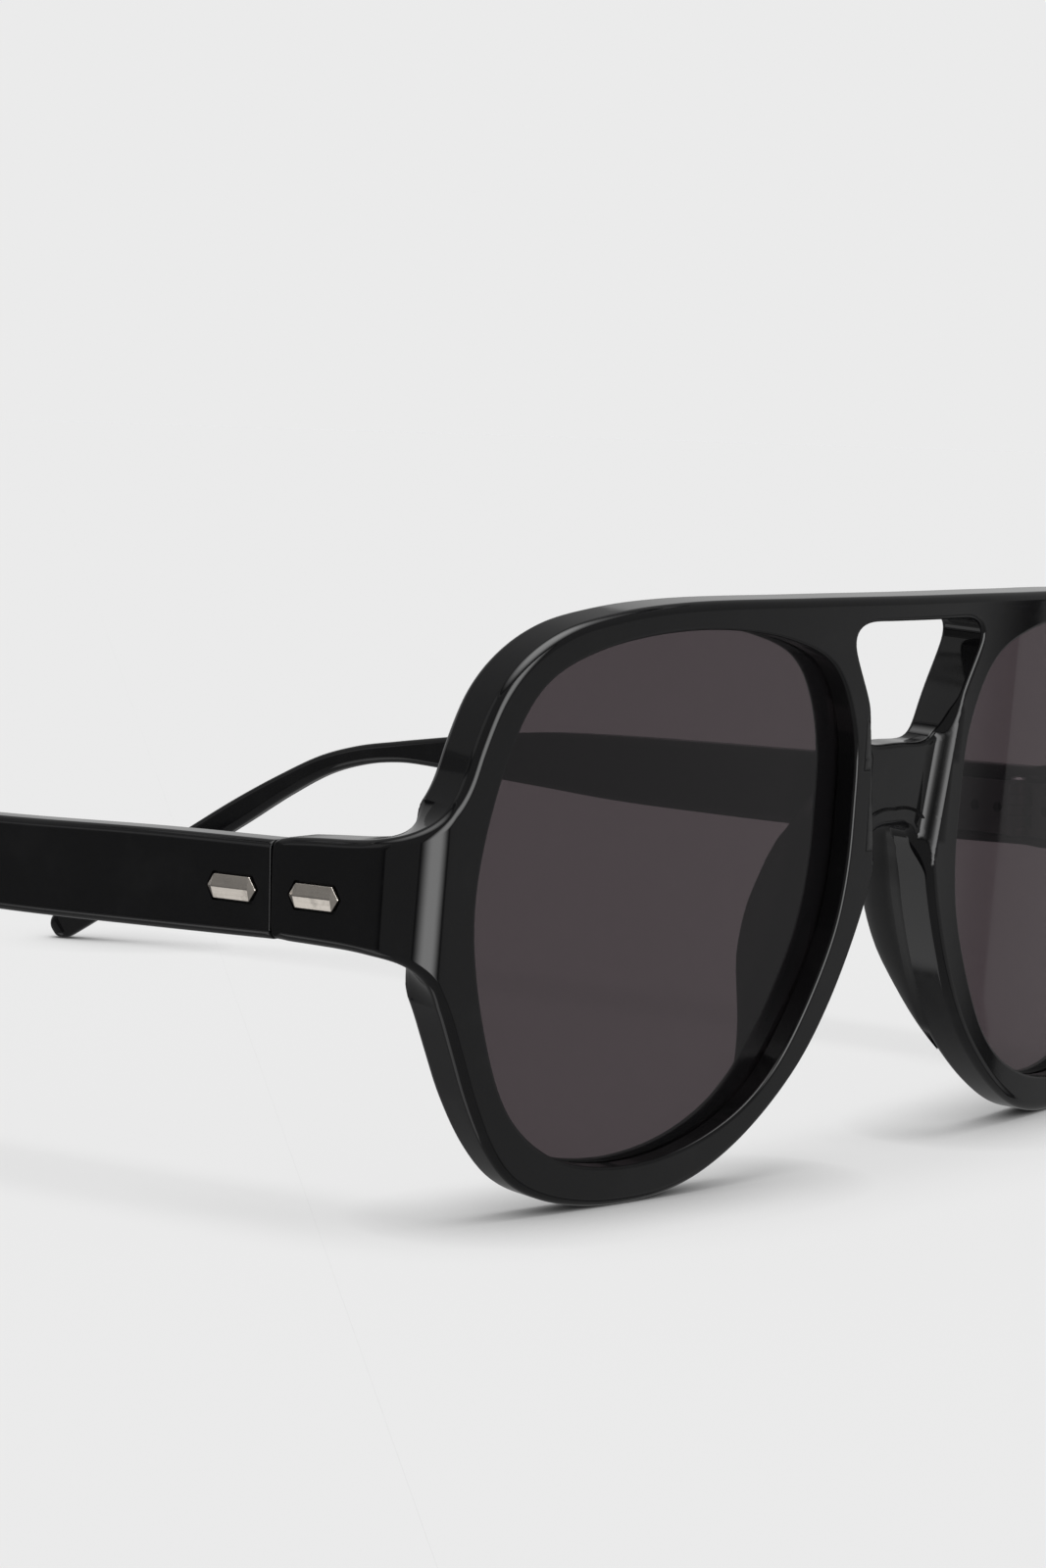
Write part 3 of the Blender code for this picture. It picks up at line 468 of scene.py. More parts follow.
def filled(loops, spots):
    """Triangles between the first loop and the loops inside it, through the given spots."""
    near = KDTree(sum(len(loop) for loop in loops))
    for i, point in enumerate(np.vstack(loops)):
        near.insert((point[0], point[1], 0), i)
    near.balance()
    inside = is_inside(spots, loops[0])
    for hole in loops[1:]:
        inside &= ~is_inside(spots, hole)
    kept = [p for p in spots[inside] if near.find((p[0], p[1], 0))[2] > FILL_CLEAR]
    points = np.vstack(loops + [np.array(kept)])
    edges, first = [], 0
    for loop in loops:
        size = len(loop)
        edges += [(first + i, first + (i + 1) % size) for i in range(size)]
        first += size
    result = delaunay_2d_cdt([Vector(p) for p in points], edges, [], 0, 1e-7)
    source = [origins[0] for origins in result[3]]
    triangles = np.array(result[2])
    middles = np.array([result[0][i] for i in range(len(result[0]))])[triangles].mean(1)
    good = is_inside(middles, loops[0])
    for hole in loops[1:]:
        good &= ~is_inside(middles, hole)
    return np.array(kept), [tuple(source[i] for i in face) for face in triangles[good]]


def plate_mesh(name, loops, profiles):
    """The plate between its front and back faces, with exact normals for its polish."""
    points, normals, faces, fronts, backs = [], [], [], [], []
    total = 0
    for number, (loop, profile) in enumerate(zip(loops, profiles)):
        inward = loop_normals(loop, number == 0)
        size = len(loop)
        rings = []
        for inset, depth, angle in profile(loop):
            ring = loop + inward * np.broadcast_to(inset, size)[:, None]
            points.append(np.column_stack([ring, np.broadcast_to(depth, size)]))
            normals.append(np.column_stack([-inward * math.sin(angle),
                                            np.full(size, -math.cos(angle))]))
            rings.append(np.arange(total, total + size))
            total += size
        for upper, lower in zip(rings, rings[1:]):
            faces += list(zip(upper, np.roll(upper, -1), np.roll(lower, -1), lower))
        fronts.append((points[-len(rings)][:, :2], rings[0]))
        backs.append((points[-1][:, :2], rings[-1]))
    for sides, depth, facing in ((fronts, 0.0, -1.0), (backs, PLATE_THICK, 1.0)):
        kept, triangles = filled([loop for loop, _ in sides], fill_points())
        index = np.concatenate([numbers for _, numbers in sides]
                               + [np.arange(total, total + len(kept))])
        points.append(np.column_stack([kept, np.full(len(kept), depth)]))
        normals.append(np.tile((0.0, 0.0, facing), (len(kept), 1)))
        total += len(kept)
        faces += [tuple(index[i] for i in face) for face in triangles]
    flat = np.vstack(points)
    flat_normals = np.vstack(normals)

    def mapping(spots):
        return bend(recessed(spots))

    return mapping(flat), carried_normals(flat, flat_normals, mapping), faces


def front_profile(loop):
    """The outer edge of the front: well rounded in front, less so behind and at the seam."""
    at_seam = smooth((np.abs(loop[:, 0]) - (PLATE_END - 1.1)) / 0.9)
    front_round = FRONT_ROUND + (SEAM_ROUND - FRONT_ROUND) * at_seam
    back_round = BACK_ROUND + (SEAM_ROUND - BACK_ROUND) * at_seam
    rows = [(front_round * (1 - math.sin(a)), front_round * (1 - math.cos(a)), a)
            for a in np.radians(np.linspace(0, 90, 8))]
    rows += [(back_round * (1 - math.sin(a)), PLATE_THICK - back_round * (1 + math.cos(a)), a)
             for a in np.radians(np.linspace(90, 180, 6))]
    return rows


def opening_profile(loop):
    """The edge of a lens opening, with the groove that holds the lens."""
    edge, right, back = OPENING_ROUND, math.pi / 2, PLATE_THICK
    rows = [(edge * (1 - math.sin(a)), edge * (1 - math.cos(a)), a)
            for a in np.radians(np.linspace(0, 90, 6))]
    rows += [(0, GROOVE_FRONT - CRISP, right), (CRISP, GROOVE_FRONT, math.pi),
             (GROOVE_DEPTH - CRISP, GROOVE_FRONT, math.pi),
             (GROOVE_DEPTH, GROOVE_FRONT + CRISP, right),
             (GROOVE_DEPTH, GROOVE_BACK - CRISP, right), (GROOVE_DEPTH - CRISP, GROOVE_BACK, 0),
             (CRISP, GROOVE_BACK, 0), (0, GROOVE_BACK + CRISP, right)]
    edge = OPENING_BACK_ROUND
    return rows + [(edge * (1 - math.sin(a)), back - edge * (1 + math.cos(a)), a)
                   for a in np.radians(np.linspace(90, 180, 4))]


def window_profile(loop):
    """The edge of the window between the brow bar and the bridge."""
    edge = WINDOW_ROUND
    rows = [(edge * (1 - math.sin(a)), edge * (1 - math.cos(a)), a)
            for a in np.radians(np.linspace(0, 90, 7))]
    return rows + [(edge * (1 - math.sin(a)), PLATE_THICK - edge * (1 + math.cos(a)), a)
                   for a in np.radians(np.linspace(90, 180, 7))]


def build_mesh(name, points, faces):
    """A mesh from millimetre points, with its faces turned outwards."""
    mesh = bpy.data.meshes.new(name)
    mesh.from_pydata([tuple(p) for p in np.asarray(points) * MM], [], faces)
    shape = bmesh.new()
    shape.from_mesh(mesh)
    bmesh.ops.recalc_face_normals(shape, faces=shape.faces)
    shape.to_mesh(mesh)
    shape.free()
    mesh.shade_smooth()
    return mesh


def cut(thing, cutters, solver):
    """Cut solids out of a piece and leave it a plain mesh."""
    for cutter in cutters:
        boolean = thing.modifiers.new("cut", "BOOLEAN")
        boolean.operation = "DIFFERENCE"
        boolean.object = cutter
        boolean.solver = solver
    plain(thing)
    for cutter in cutters:
        bpy.data.objects.remove(cutter, do_unlink=True)


def plain(thing):
    """Replace a piece's mesh by what its modifiers make of it."""
    graph = bpy.context.evaluated_depsgraph_get()
    graph.update()
    mesh = bpy.data.meshes.new_from_object(thing.evaluated_get(graph),
                                           preserve_all_data_layers=True, depsgraph=graph)
    thing.modifiers.clear()
    thing.data = mesh


def polish(mesh, spots, normals, limit=50.0):
    """Give faces the exact normals of the surface they lie on, and leave cut faces flat."""
    tree = KDTree(len(spots))
    for i, spot in enumerate(spots):
        tree.insert(Vector(spot), i)
    tree.balance()
    nearest = [tree.find(v.co)[1] for v in mesh.vertices]
    least = math.cos(math.radians(limit))
    corners = []
    for face in mesh.polygons:
        flat = face.normal
        for corner in face.loop_indices:
            exact = Vector(normals[nearest[mesh.loops[corner].vertex_index]])
            corners.append(exact if exact.dot(flat) > least else flat.copy())
    mesh.shade_smooth()
    mesh.normals_split_custom_set(corners)


def acetate(name, shine=0.055, smudge=1.0):
    """Polished black acetate: very smooth, with faint waves, smudges and hairlines."""
    paint = Shading(name)
    place = paint.add("ShaderNodeTexCoord", output=3)
    cloud = paint.add("ShaderNodeTexNoise", {}, {"Vector": place, "Scale": 95.0, "Detail": 4.0,
                                                 "Roughness": 0.6})
    grain = paint.add("ShaderNodeTexNoise", {}, {"Vector": place, "Scale": 900.0,
                                                 "Detail": 3.0, "Roughness": 0.7})
    drawn = paint.add("ShaderNodeMapping", {}, {"Vector": place, "Scale": (60, 700, 2600),
                                                "Rotation": (0.3, 0.1, 0.2)})
    lines = paint.add("ShaderNodeTexNoise", {}, {"Vector": drawn, "Scale": 1.0, "Detail": 2.0})
    haze = cloud.between(0.5, 0.72) * smudge
    hairs = lines.between(0.66, 0.74)
    rough = shine + haze * 0.05 + grain * 0.03 + hairs * 0.06
    mixed = paint.add("ShaderNodeMix", {"data_type": "RGBA"},
                      {"Factor": haze * 0.6 + grain * 0.3, 6: (0.0045, 0.0045, 0.005, 1),
                       7: (0.011, 0.011, 0.0115, 1)}, 2)
    waves = cloud * 0.7 + grain * 0.05 + hairs * 0.04
    bump = paint.add("ShaderNodeBump", {}, {"Height": waves, "Strength": 0.25,
                                            "Distance": 0.00004})
    return paint.surface(paint.add("ShaderNodeBsdfPrincipled", {}, {
        "Base Color": mixed, "Roughness": rough, "Normal": bump, "IOR": 1.48}))


black_acetate = acetate("polished black acetate")

top_half = catmull(TOP_OUTLINE, False)
lower_half = catmull(LOWER_OUTLINE, False)
seam_corner = np.radians(np.linspace(5, 85, 7))
seam_line = np.vstack([
    np.column_stack([PLATE_END - SEAM_NIP * (1 - np.sin(seam_corner)),
                     TOP_OUTLINE[-1][1] - SEAM_NIP * (1 - np.cos(seam_corner))]),
    np.column_stack([PLATE_END - SEAM_NIP * (1 - np.cos(seam_corner)),
                     LOWER_OUTLINE[0][1] + SEAM_NIP * (1 - np.sin(seam_corner))])])
half_outline = np.vstack([top_half, seam_line, lower_half])
outline = even_loop(np.vstack([half_outline, half_outline[::-1][1:-1] * (-1, 1)]), SPACING, 12)
opening = even_loop(catmull(OPENING_OUTLINE, True), SPACING)
window = whole_loop(WINDOW_OUTLINE)
front_points, front_normals, front_faces = plate_mesh(
    "front_frame", [outline, opening, opening * (-1, 1), window],
    [front_profile, opening_profile, opening_profile, window_profile])

# The part stands centred on its bounding box; its front's own box says how far it moved.
cad_front_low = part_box("front_frame")[0]
TO_PLACE = np.array(cad_front_low) / MM - front_points.min(0)
TO_PLACE[0] = 0
front_points = front_points + TO_PLACE

hinge_seam = bend(np.array([[PLATE_END, HINGE_Z, 0.0]]))[0] + TO_PLACE
hinge_inset = AXIS_INSET + END_THICK
HINGE_PLACE = hinge_seam + (-hinge_inset * math.cos(SPLAY), hinge_inset * math.sin(SPLAY), 0)
SIDES = {"left": 1, "right": -1}


def from_hinge(points, side):
    """Points given from the hinge axis, as (outward, back, up), in their place."""
    x, y, z = np.asarray(points, float).T
    place = np.stack([HINGE_PLACE[0] + x * math.cos(SPLAY) + y * math.sin(SPLAY),
                      HINGE_PLACE[1] - x * math.sin(SPLAY) + y * math.cos(SPLAY),
                      HINGE_PLACE[2] + z], 1)
    return place * (side, 1, 1)


def prism(outline_points, low, high, axis=0):
    """A prism over a flat outline, along one axis, as points and faces."""
    size = len(outline_points)
    points = [np.insert(np.array(p, float), axis, h) for h in (low, high)
              for p in outline_points]
    faces = [tuple(range(size)), tuple(range(size, 2 * size))]
    faces += [(i, (i + 1) % size, size + (i + 1) % size, size + i) for i in range(size)]
    return points, faces


LEAF_INNER, LEAF_THICK, LEAF_CLEAR = 0.4, 1.0, 0.3
LEAF_END, LEAF_HALF = 9.2, 3.0
LEAF_ROOM_LOW, LEAF_ROOM_PAST = -2.0, 1.5
SCREW_HEAD, SCREW_HEAD_CLEAR = 0.6, 0.2
PLAQUE_FLOOR = 0.15          # room left under a plaque
CUT_PAST = 3.0               # how far a cutter stands clear of the surface it cuts
PLAQUE_LENGTH, PLAQUE_HEIGHT, PLAQUE_POINT = 5.6, 2.2, 0.75
PLAQUE_SINK, PLAQUE_CLEAR = 0.25, 0.22
PLAQUE_Y = {"front": -4.9, "temple": 4.5}


def hexagon(clear):
    """A long hexagon round (0, 0), as (back, up)."""
    half, tall = PLAQUE_LENGTH / 2 + clear, PLAQUE_HEIGHT / 2 + clear
    return [(-half, 0), (PLAQUE_POINT - half, -tall), (half - PLAQUE_POINT, -tall),
            (half, 0), (half - PLAQUE_POINT, tall), (PLAQUE_POINT - half, tall)]


def pockets(part, side):
    """The hidden solids that cut a hinge leaf's pocket and a plaque's recess."""
    back = -1 if part == "front" else 1
    half = LEAF_HALF + LEAF_CLEAR
    high = half + SCREW_HEAD + SCREW_HEAD_CLEAR
    ends = sorted((-back * LEAF_ROOM_PAST, back * (LEAF_END + LEAF_CLEAR)))
    leaf_outline = [(ends[0], -half), (ends[1], -half), (ends[1], high), (ends[0], high)]
    outer = AXIS_INSET + END_THICK
    shapes = [prism(leaf_outline, LEAF_ROOM_LOW, LEAF_INNER + LEAF_THICK + LEAF_CLEAR)]
    shapes.append(prism([(y + PLAQUE_Y[part], z) for y, z in hexagon(PLAQUE_CLEAR)],
                        outer - PLAQUE_SINK - PLAQUE_FLOOR, outer + CUT_PAST))
    return [new_object(f"{part}_{side}_cutter_{i}",
                       build_mesh("cutter", from_hinge(points, side), faces), black_acetate)
            for i, (points, faces) in enumerate(shapes)]


front_piece = new_object("front_frame_finished",
                         build_mesh("front_frame_finished", front_points, front_faces),
                         black_acetate)
cut(front_piece, pockets("front", 1) + pockets("front", -1), "EXACT")
polish(front_piece.data, front_points * MM, front_normals)
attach(front_piece, "front")
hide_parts("front_frame")

# --------------------------------------------------------------------------------------
# Lenses: polished smoke-tinted sheet, cut to the opening and sprung into its groove. About
# a twentieth of the light comes through, a little warmer than it went in.
# --------------------------------------------------------------------------------------
LENS_FRONT, LENS_BACK = 2.5, 4.0
LENS_OVERLAP = 0.8
LENS_PASS = 0.243            # share that passes each of the lens's two faces
LENS_RINGS = 16
LENS_HUB = 0.02              # size of the innermost ring, as a share


def lens_shape():
    """A curved sheet a little larger than the opening, with exact normals."""
    middle = opening.mean(0)
    rim = opening + loop_normals(opening, False) * LENS_OVERLAP
    size = len(rim)
    rows = [(share, LENS_FRONT, -1) for share in np.linspace(LENS_HUB, 1, LENS_RINGS)]
    rows += [(share, LENS_BACK, 1) for share in np.linspace(1, LENS_HUB, LENS_RINGS)]
    points, normals = [], []
    for share, depth, facing in rows:
        ring = middle + (rim - middle) * share
        points.append(np.column_stack([ring, np.full(size, depth)]))
        normals.append(np.tile((0.0, 0.0, facing), (size, 1)))
    faces = []
    for k in range(len(rows) - 1):
        a, b = np.arange(size) + k * size, np.arange(size) + (k + 1) * size
        faces += list(zip(a, np.roll(a, -1), np.roll(b, -1), b))
    total = len(rows) * size
    for hub, first, depth, facing in ((total, 0, LENS_FRONT, -1),
                                      (total + 1, total - size, LENS_BACK, 1)):
        points.append(np.array([[*middle, depth]]))
        normals.append(np.array([[0.0, 0.0, facing]]))
        faces += [(hub, first + i, first + (i + 1) % size) for i in range(size)]
    flat, flat_normals = np.vstack(points), np.vstack(normals)
    return bend(flat) + TO_PLACE, carried_normals(flat, flat_normals, bend), faces


def smoke_tint():
    """Tinted lens: a dark gloss that lets a little warm light through."""
    tint = Shading("smoke tinted lens")
    place = tint.add("ShaderNodeTexCoord", output=3)
    film = tint.add("ShaderNodeTexNoise", {}, {"Vector": place, "Scale": 70.0, "Detail": 3.0})
    rough = 0.02 + film.between(0.5, 0.75) * 0.03
    gloss = tint.add("ShaderNodeBsdfPrincipled", {}, {
        "Base Color": (0.013, 0.0125, 0.0135, 1), "Roughness": rough, "IOR": 1.5})
    clear = tint.add("ShaderNodeBsdfTransparent", {}, {"Color": (1.0, 0.886, 0.925, 1)})
    return tint.surface(tint.add("ShaderNodeMixShader", {}, {
        "Fac": 1 - LENS_PASS, 1: clear, 2: gloss}))


smoke_lens = smoke_tint()
lens_points, lens_normals, lens_faces = lens_shape()
for side_name, side in SIDES.items():
    turn_side = np.array((side, 1, 1))
    lens = new_object(f"lens_{side_name}_finished",
                      build_mesh("lens", lens_points * turn_side, lens_faces), smoke_lens)
    polish(lens.data, lens_points * turn_side * MM, lens_normals * turn_side)
    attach(lens, "front")
    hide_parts(f"lens_{side_name}")

# --------------------------------------------------------------------------------------
# Nose pads: saddles of the same acetate, glued to the back of each rim's nose side and
# blended into it by hand, so that each flares back behind its lens. Where they were filed
# they are a little less shiny than the front.
# --------------------------------------------------------------------------------------
PAD_BOTTOM = 7.6             # height of the pad's lower end
PAD_LOW_END, PAD_MIDDLE = 24.0, 0.05   # distance across of its two ends, at most and at least
PAD_STATIONS = 90
PAD_REACH = 5.7
PAD_SUNK = 1.6               # how far the pad's foot runs forward over the rim's edge
PAD_SWEEP = 0.05             # how far it bulges out over the rim's edge
PAD_INSET, PAD_TUCK = 0.05, 1.0        # how far it starts inside the edge, and its end's tuck
PAD_NARROW = 0.45            # width left where a pad has no reach, as a share
PAD_GROWTH, PAD_FOOT_RISE = 3.0, 1.6   # how quickly the foot's bulge grows, along and back
PAD_FADE, PAD_FADE_LENGTH = 0.75, 0.2  # where the sweep fades out, as shares of the length
PAD_BLEND = 0.8              # distance in over which the foot's bulge blends away
PAD_ROOT_IN, PAD_ROOT_DEPTH = 2.0, 1.3 # the pad's hidden root inside the rim
# How far the pad reaches back, as (share of its length from below, share of PAD_REACH).
PAD_SWELL = [(0.0, 0.0), (0.1, 0.2), (0.2, 0.42), (0.3, 0.66), (0.4, 0.87), (0.5, 0.97),
             (0.58, 1.0), (0.66, 0.97), (0.75, 0.9), (0.83, 0.75), (0.9, 0.58), (1.0, 0.48)]
# The pad's section behind the rim: (distance in from the outline, share of the reach).
PAD_SECTION = [(0.0, 0.0), (0.25, 0.2), (0.8, 0.5), (1.8, 0.8), (3.1, 0.97), (4.0, 1.0),
               (4.6, 0.93), (4.7, 0.75), (4.3, 0.5), (3.8, 0.3), (3.4, 0.0)]


def pad_shape():
    """The pad as rings across it, from its lower end up to the bridge."""
    path = catmull(LOWER_OUTLINE, False)
    path = path[(path[:, 1] > PAD_BOTTOM) & (path[:, 0] < PAD_LOW_END)
                & (path[:, 0] > PAD_MIDDLE)]
    lengths = np.concatenate([[0], np.cumsum(np.linalg.norm(np.diff(path, axis=0), axis=1))])
    section = catmull(PAD_SECTION, False)[::3]
    foot = np.linspace(0, 1, 12)[:-1, None]
    swells = catmull(PAD_SWELL, False)
    rings = []
    for share in np.linspace(0, 1, PAD_STATIONS):
        place = share * lengths[-1]
        before, point, after = (
            np.array([np.interp(place + step, lengths, path[:, k]) for k in (0, 1)])
            for step in (-0.4, 0, 0.4))
        along = (after - before) / np.linalg.norm(after - before)
        inward = np.array([along[1], -along[0]])
        swell = np.interp(share, swells[:, 0], swells[:, 1])
        width = PAD_NARROW + (1 - PAD_NARROW) * swell
        grown = smooth(swell * PAD_GROWTH)
        fading = 1 - smooth((share - PAD_FADE) / PAD_FADE_LENGTH)
        bulge = (PAD_INSET + PAD_TUCK * (1 - grown) * foot
                 - (PAD_INSET + PAD_SWEEP * fading) * grown * smooth(foot * PAD_FOOT_RISE))
        front = np.column_stack([point + inward * bulge,
                                 PLATE_THICK - PAD_SUNK * (1 - foot)])
        shift = bulge[-1] * (1 - smooth(section[:, :1] / PAD_BLEND))
        behind = np.column_stack([point + inward * (section[:, :1] * width + shift),
                                  PLATE_THICK + section[:, 1] * PAD_REACH * swell])
        root = [*(point + inward * PAD_ROOT_IN), PAD_ROOT_DEPTH]
        flat = np.vstack([front, behind, [root]])
        rings.append(bend(flat) + TO_PLACE)
    return rings


def loft(rings):
    """Join closed rings of equal length, and close both ends."""
    size = len(rings[0])
    faces = [tuple(range(size)), tuple(range((len(rings) - 1) * size, len(rings) * size))]
    for row in range(len(rings) - 1):
        a, b = np.arange(size) + row * size, np.arange(size) + (row + 1) * size
        faces += list(zip(a, np.roll(a, -1), np.roll(b, -1), b))
    return np.vstack(rings), faces


satin_acetate = acetate("satin black acetate", 0.3, 0.5)
pad_points, pad_faces = loft(pad_shape())
for side_name, side in SIDES.items():
    pad = new_object(f"nose_pad_{side_name}_finished",
                     build_mesh("nose_pad", pad_points * (side, 1, 1), pad_faces),
                     satin_acetate)
    pad.data.set_sharp_from_angle(angle=math.radians(50))
    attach(pad, "front")
    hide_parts(f"nose_pad_{side_name}")

# --------------------------------------------------------------------------------------
# Temples: long bars of the same acetate, tapered, rounded on their edges and bent down
# behind the ear. Each is swept along its middle line by one node tree.
# --------------------------------------------------------------------------------------
SEAM_GAP = 0.16
# Each temple's stations: (distance back, height of the middle line, its height, thickness).
TEMPLE_STATIONS = [(0.0, 29.15, 8.85, 4.2), (13.5, 28.95, 9.0, 4.1), (32.5, 28.6, 8.8, 3.9),
                   (46.5, 28.6, 8.5, 3.8), (60.5, 28.65, 7.95, 3.7), (73.5, 28.75, 6.65, 3.5),
                   (82.5, 28.55, 5.25, 3.3), (89.5, 28.3, 3.9, 3.2), (96.5, 27.9, 2.7, 3.1),
                   (102.5, 27.0, 2.55, 3.1), (107.5, 25.5, 2.65, 3.1), (113.5, 22.4, 3.0, 3.1),
                   (119.5, 18.65, 3.5, 3.1), (125.5, 14.6, 3.6, 3.1), (131.5, 10.3, 3.7, 3.1),
                   (137.5, 5.8, 3.8, 3.0), (140.7, 3.45, 3.8, 2.9), (144.3, 0.9, 3.8, 2.7)]
TEMPLE_TIP = 1.9             # rounding of the temple's end
CURL_START, CURL_DEPTH = 85.5, 15.5
TEMPLE_ROUND = 0.95
TEMPLE_SPACING = 0.45
TEMPLE_NIP_ROWS, TEMPLE_TIP_ROWS = 5, 9


def temple_rows():
    """Even rows down the temple's middle line: (distance back, up, height, thickness)."""
    stations = np.array(TEMPLE_STATIONS)
    places = stations[:, 0]
    slopes = np.gradient(stations[:, 1:], places, axis=0)
    fine = np.arange(0, places[-1] + 1e-9, 0.1)
    index = np.clip(np.searchsorted(places, fine, side="right") - 1, 0, len(places) - 2)
    span = (places[index + 1] - places[index])[:, None]
    t = ((fine - places[index])[:, None]) / span
    a, b = stations[index, 1:], stations[index + 1, 1:]
    values = ((2 * t ** 3 - 3 * t ** 2 + 1) * a + (t ** 3 - 2 * t ** 2 + t) * slopes[index] * span
              + (3 * t ** 2 - 2 * t ** 3) * b + (t ** 3 - t ** 2) * slopes[index + 1] * span)
    return np.column_stack([fine, values])


def temple_line():
    """The middle line from the hinge axis, with the height and thickness at each point."""
    rows = temple_rows()
    distance, up, height, thick = rows.T
    curl = np.maximum(0, distance - CURL_START) / (TEMPLE_STATIONS[-1][0] - CURL_START)
    outer = AXIS_INSET + END_THICK - CURL_DEPTH * curl ** 2
    line = np.column_stack([outer - thick / 2, distance + SEAM_GAP, up - HINGE_Z])
    lengths = np.concatenate([[0], np.cumsum(np.linalg.norm(np.diff(line, axis=0), axis=1))])
    total = lengths[-1]
    nip_turn = np.linspace(0, math.pi / 2, TEMPLE_NIP_ROWS)
    tip_turn = np.linspace(0, math.pi / 2, TEMPLE_TIP_ROWS)
    places = np.concatenate([
        SEAM_ROUND * (1 - np.cos(nip_turn)),
        np.arange(SEAM_ROUND + TEMPLE_SPACING, total - TEMPLE_TIP - 0.2, TEMPLE_SPACING),
        total - TEMPLE_TIP * (1 - np.sin(tip_turn))])
    table = np.column_stack([line, height, thick])
    sampled = np.stack([np.interp(places, lengths, table[:, k]) for k in range(5)], 1)
    trim = np.zeros(len(places))
    trim[:TEMPLE_NIP_ROWS] = SEAM_ROUND * (1 - np.sin(nip_turn))
    sampled[:, 3] -= 2 * trim
    sampled[:, 4] -= 2 * trim
    shrink = np.ones(len(places))
    shrink[-TEMPLE_TIP_ROWS:] = np.cos(tip_turn * 0.95)
    sampled[:, 3] *= shrink
    sampled[:, 4] *= shrink
    return sampled


def sweep_tree():
    """Node tree: a rounded oblong swept along a line that says its height and thickness."""
    tree = bpy.data.node_groups.new("temple sweep", "GeometryNodeTree")
    face = tree.interface
    face.new_socket("Geometry", in_out="INPUT", socket_type="NodeSocketGeometry")
    face.new_socket("Edge Rounding", in_out="INPUT", socket_type="NodeSocketFloat")
    face.new_socket("Section Points", in_out="INPUT", socket_type="NodeSocketInt")
    face.new_socket("Finish", in_out="INPUT", socket_type="NodeSocketMaterial")
    face.new_socket("Geometry", in_out="OUTPUT", socket_type="NodeSocketGeometry")

    def node(kind, settings=None, sockets=None):
        made = tree.nodes.new(kind)
        for name, value in (settings or {}).items():
            setattr(made, name, value)
        for name, value in (sockets or {}).items():
            if isinstance(value, bpy.types.NodeSocket):
                tree.links.new(value, made.inputs[name])
            else:
                made.inputs[name].default_value = value
        return made

    def math_node(operation, *values):
        return node("ShaderNodeMath", {"operation": operation},
                    dict(enumerate(values))).outputs[0]

    def vector(operation, *values):
        made = node("ShaderNodeVectorMath", {"operation": operation})
        for number, value in enumerate(values):
            name = "Scale" if operation == "SCALE" and number == 1 else number
            tree.links.new(value, made.inputs[name])
        return made.outputs[0]

    given = node("NodeGroupInput")
    curve = node("GeometryNodeMeshToCurve", {}, {"Mesh": given.outputs["Geometry"]})
    upright = node("GeometryNodeSetCurveNormal", {"mode": "Z_UP"},
                   {"Curve": curve.outputs["Curve"]})

    def stored(geometry, name, kind, value):
        made = node("GeometryNodeStoreNamedAttribute", {"data_type": kind, "domain": "POINT"},
                    {"Geometry": geometry, "Name": name, "Value": value})
        return made.outputs["Geometry"]

    rail = stored(upright.outputs["Curve"], "rail_place", "FLOAT_VECTOR",
                  node("GeometryNodeInputPosition").outputs[0])
    rail = stored(rail, "rail_side", "FLOAT_VECTOR",
                  node("GeometryNodeInputNormal").outputs["Normal"])
    rail = stored(rail, "rail_ahead", "FLOAT_VECTOR",
                  node("GeometryNodeInputTangent").outputs[0])
    circle = node("GeometryNodeCurvePrimitiveCircle", {},
                  {"Resolution": given.outputs["Section Points"], "Radius": 1.0})
    ring = stored(circle.outputs["Curve"], "ring_place", "FLOAT_VECTOR",
                  node("GeometryNodeInputPosition").outputs[0])
    swept = node("GeometryNodeCurveToMesh", {}, {"Curve": rail, "Profile Curve": ring,
                                                 "Fill Caps": True})

    def read(name, kind):
        return node("GeometryNodeInputNamedAttribute", {"data_type": kind},
                    {"Name": name}).outputs["Attribute"]

    side, ahead = read("rail_side", "FLOAT_VECTOR"), read("rail_ahead", "FLOAT_VECTOR")
    height, thick = read("height", "FLOAT"), read("thick", "FLOAT")
    apart = node("ShaderNodeSeparateXYZ", {}, {0: read("ring_place", "FLOAT_VECTOR")})
    smallest = math_node("MULTIPLY", math_node("MINIMUM", height, thick), 0.4)
    rounding = math_node("MINIMUM", given.outputs["Edge Rounding"], smallest)

    def reach(part, size):
        core = math_node("SUBTRACT", math_node("MULTIPLY", size, 0.5), rounding)
        return math_node("ADD", math_node("MULTIPLY", math_node("SIGN", part), core),
                         math_node("MULTIPLY", part, rounding))

    upward = vector("CROSS_PRODUCT", side, ahead)
    moved = vector("ADD", vector("SCALE", side, reach(apart.outputs["X"], thick)),
                   vector("SCALE", upward, reach(apart.outputs["Y"], height)))
    place = vector("ADD", read("rail_place", "FLOAT_VECTOR"), moved)
    shaped = node("GeometryNodeSetPosition", {}, {"Geometry": swept.outputs["Mesh"],
                                                  "Position": place})
    real = node("GeometryNodeRealizeInstances", {}, {"Geometry": shaped.outputs["Geometry"]})
    finished = node("GeometryNodeSetMaterial", {}, {"Geometry": real.outputs["Geometry"],
                                                    "Material": given.outputs["Finish"]})
    smoothed = node("GeometryNodeSetShadeSmooth", {},
                    {"Geometry": finished.outputs["Geometry"], "Shade Smooth": True})
    done = node("NodeGroupOutput")
    tree.links.new(smoothed.outputs["Geometry"], done.inputs[0])
    return tree


def set_input(modifier, name, value):
    """Set a node modifier's input by the identifier of the socket with this name."""
    for item in modifier.node_group.interface.items_tree:
        if item.name == name and item.in_out == "INPUT":
            modifier[item.identifier] = value


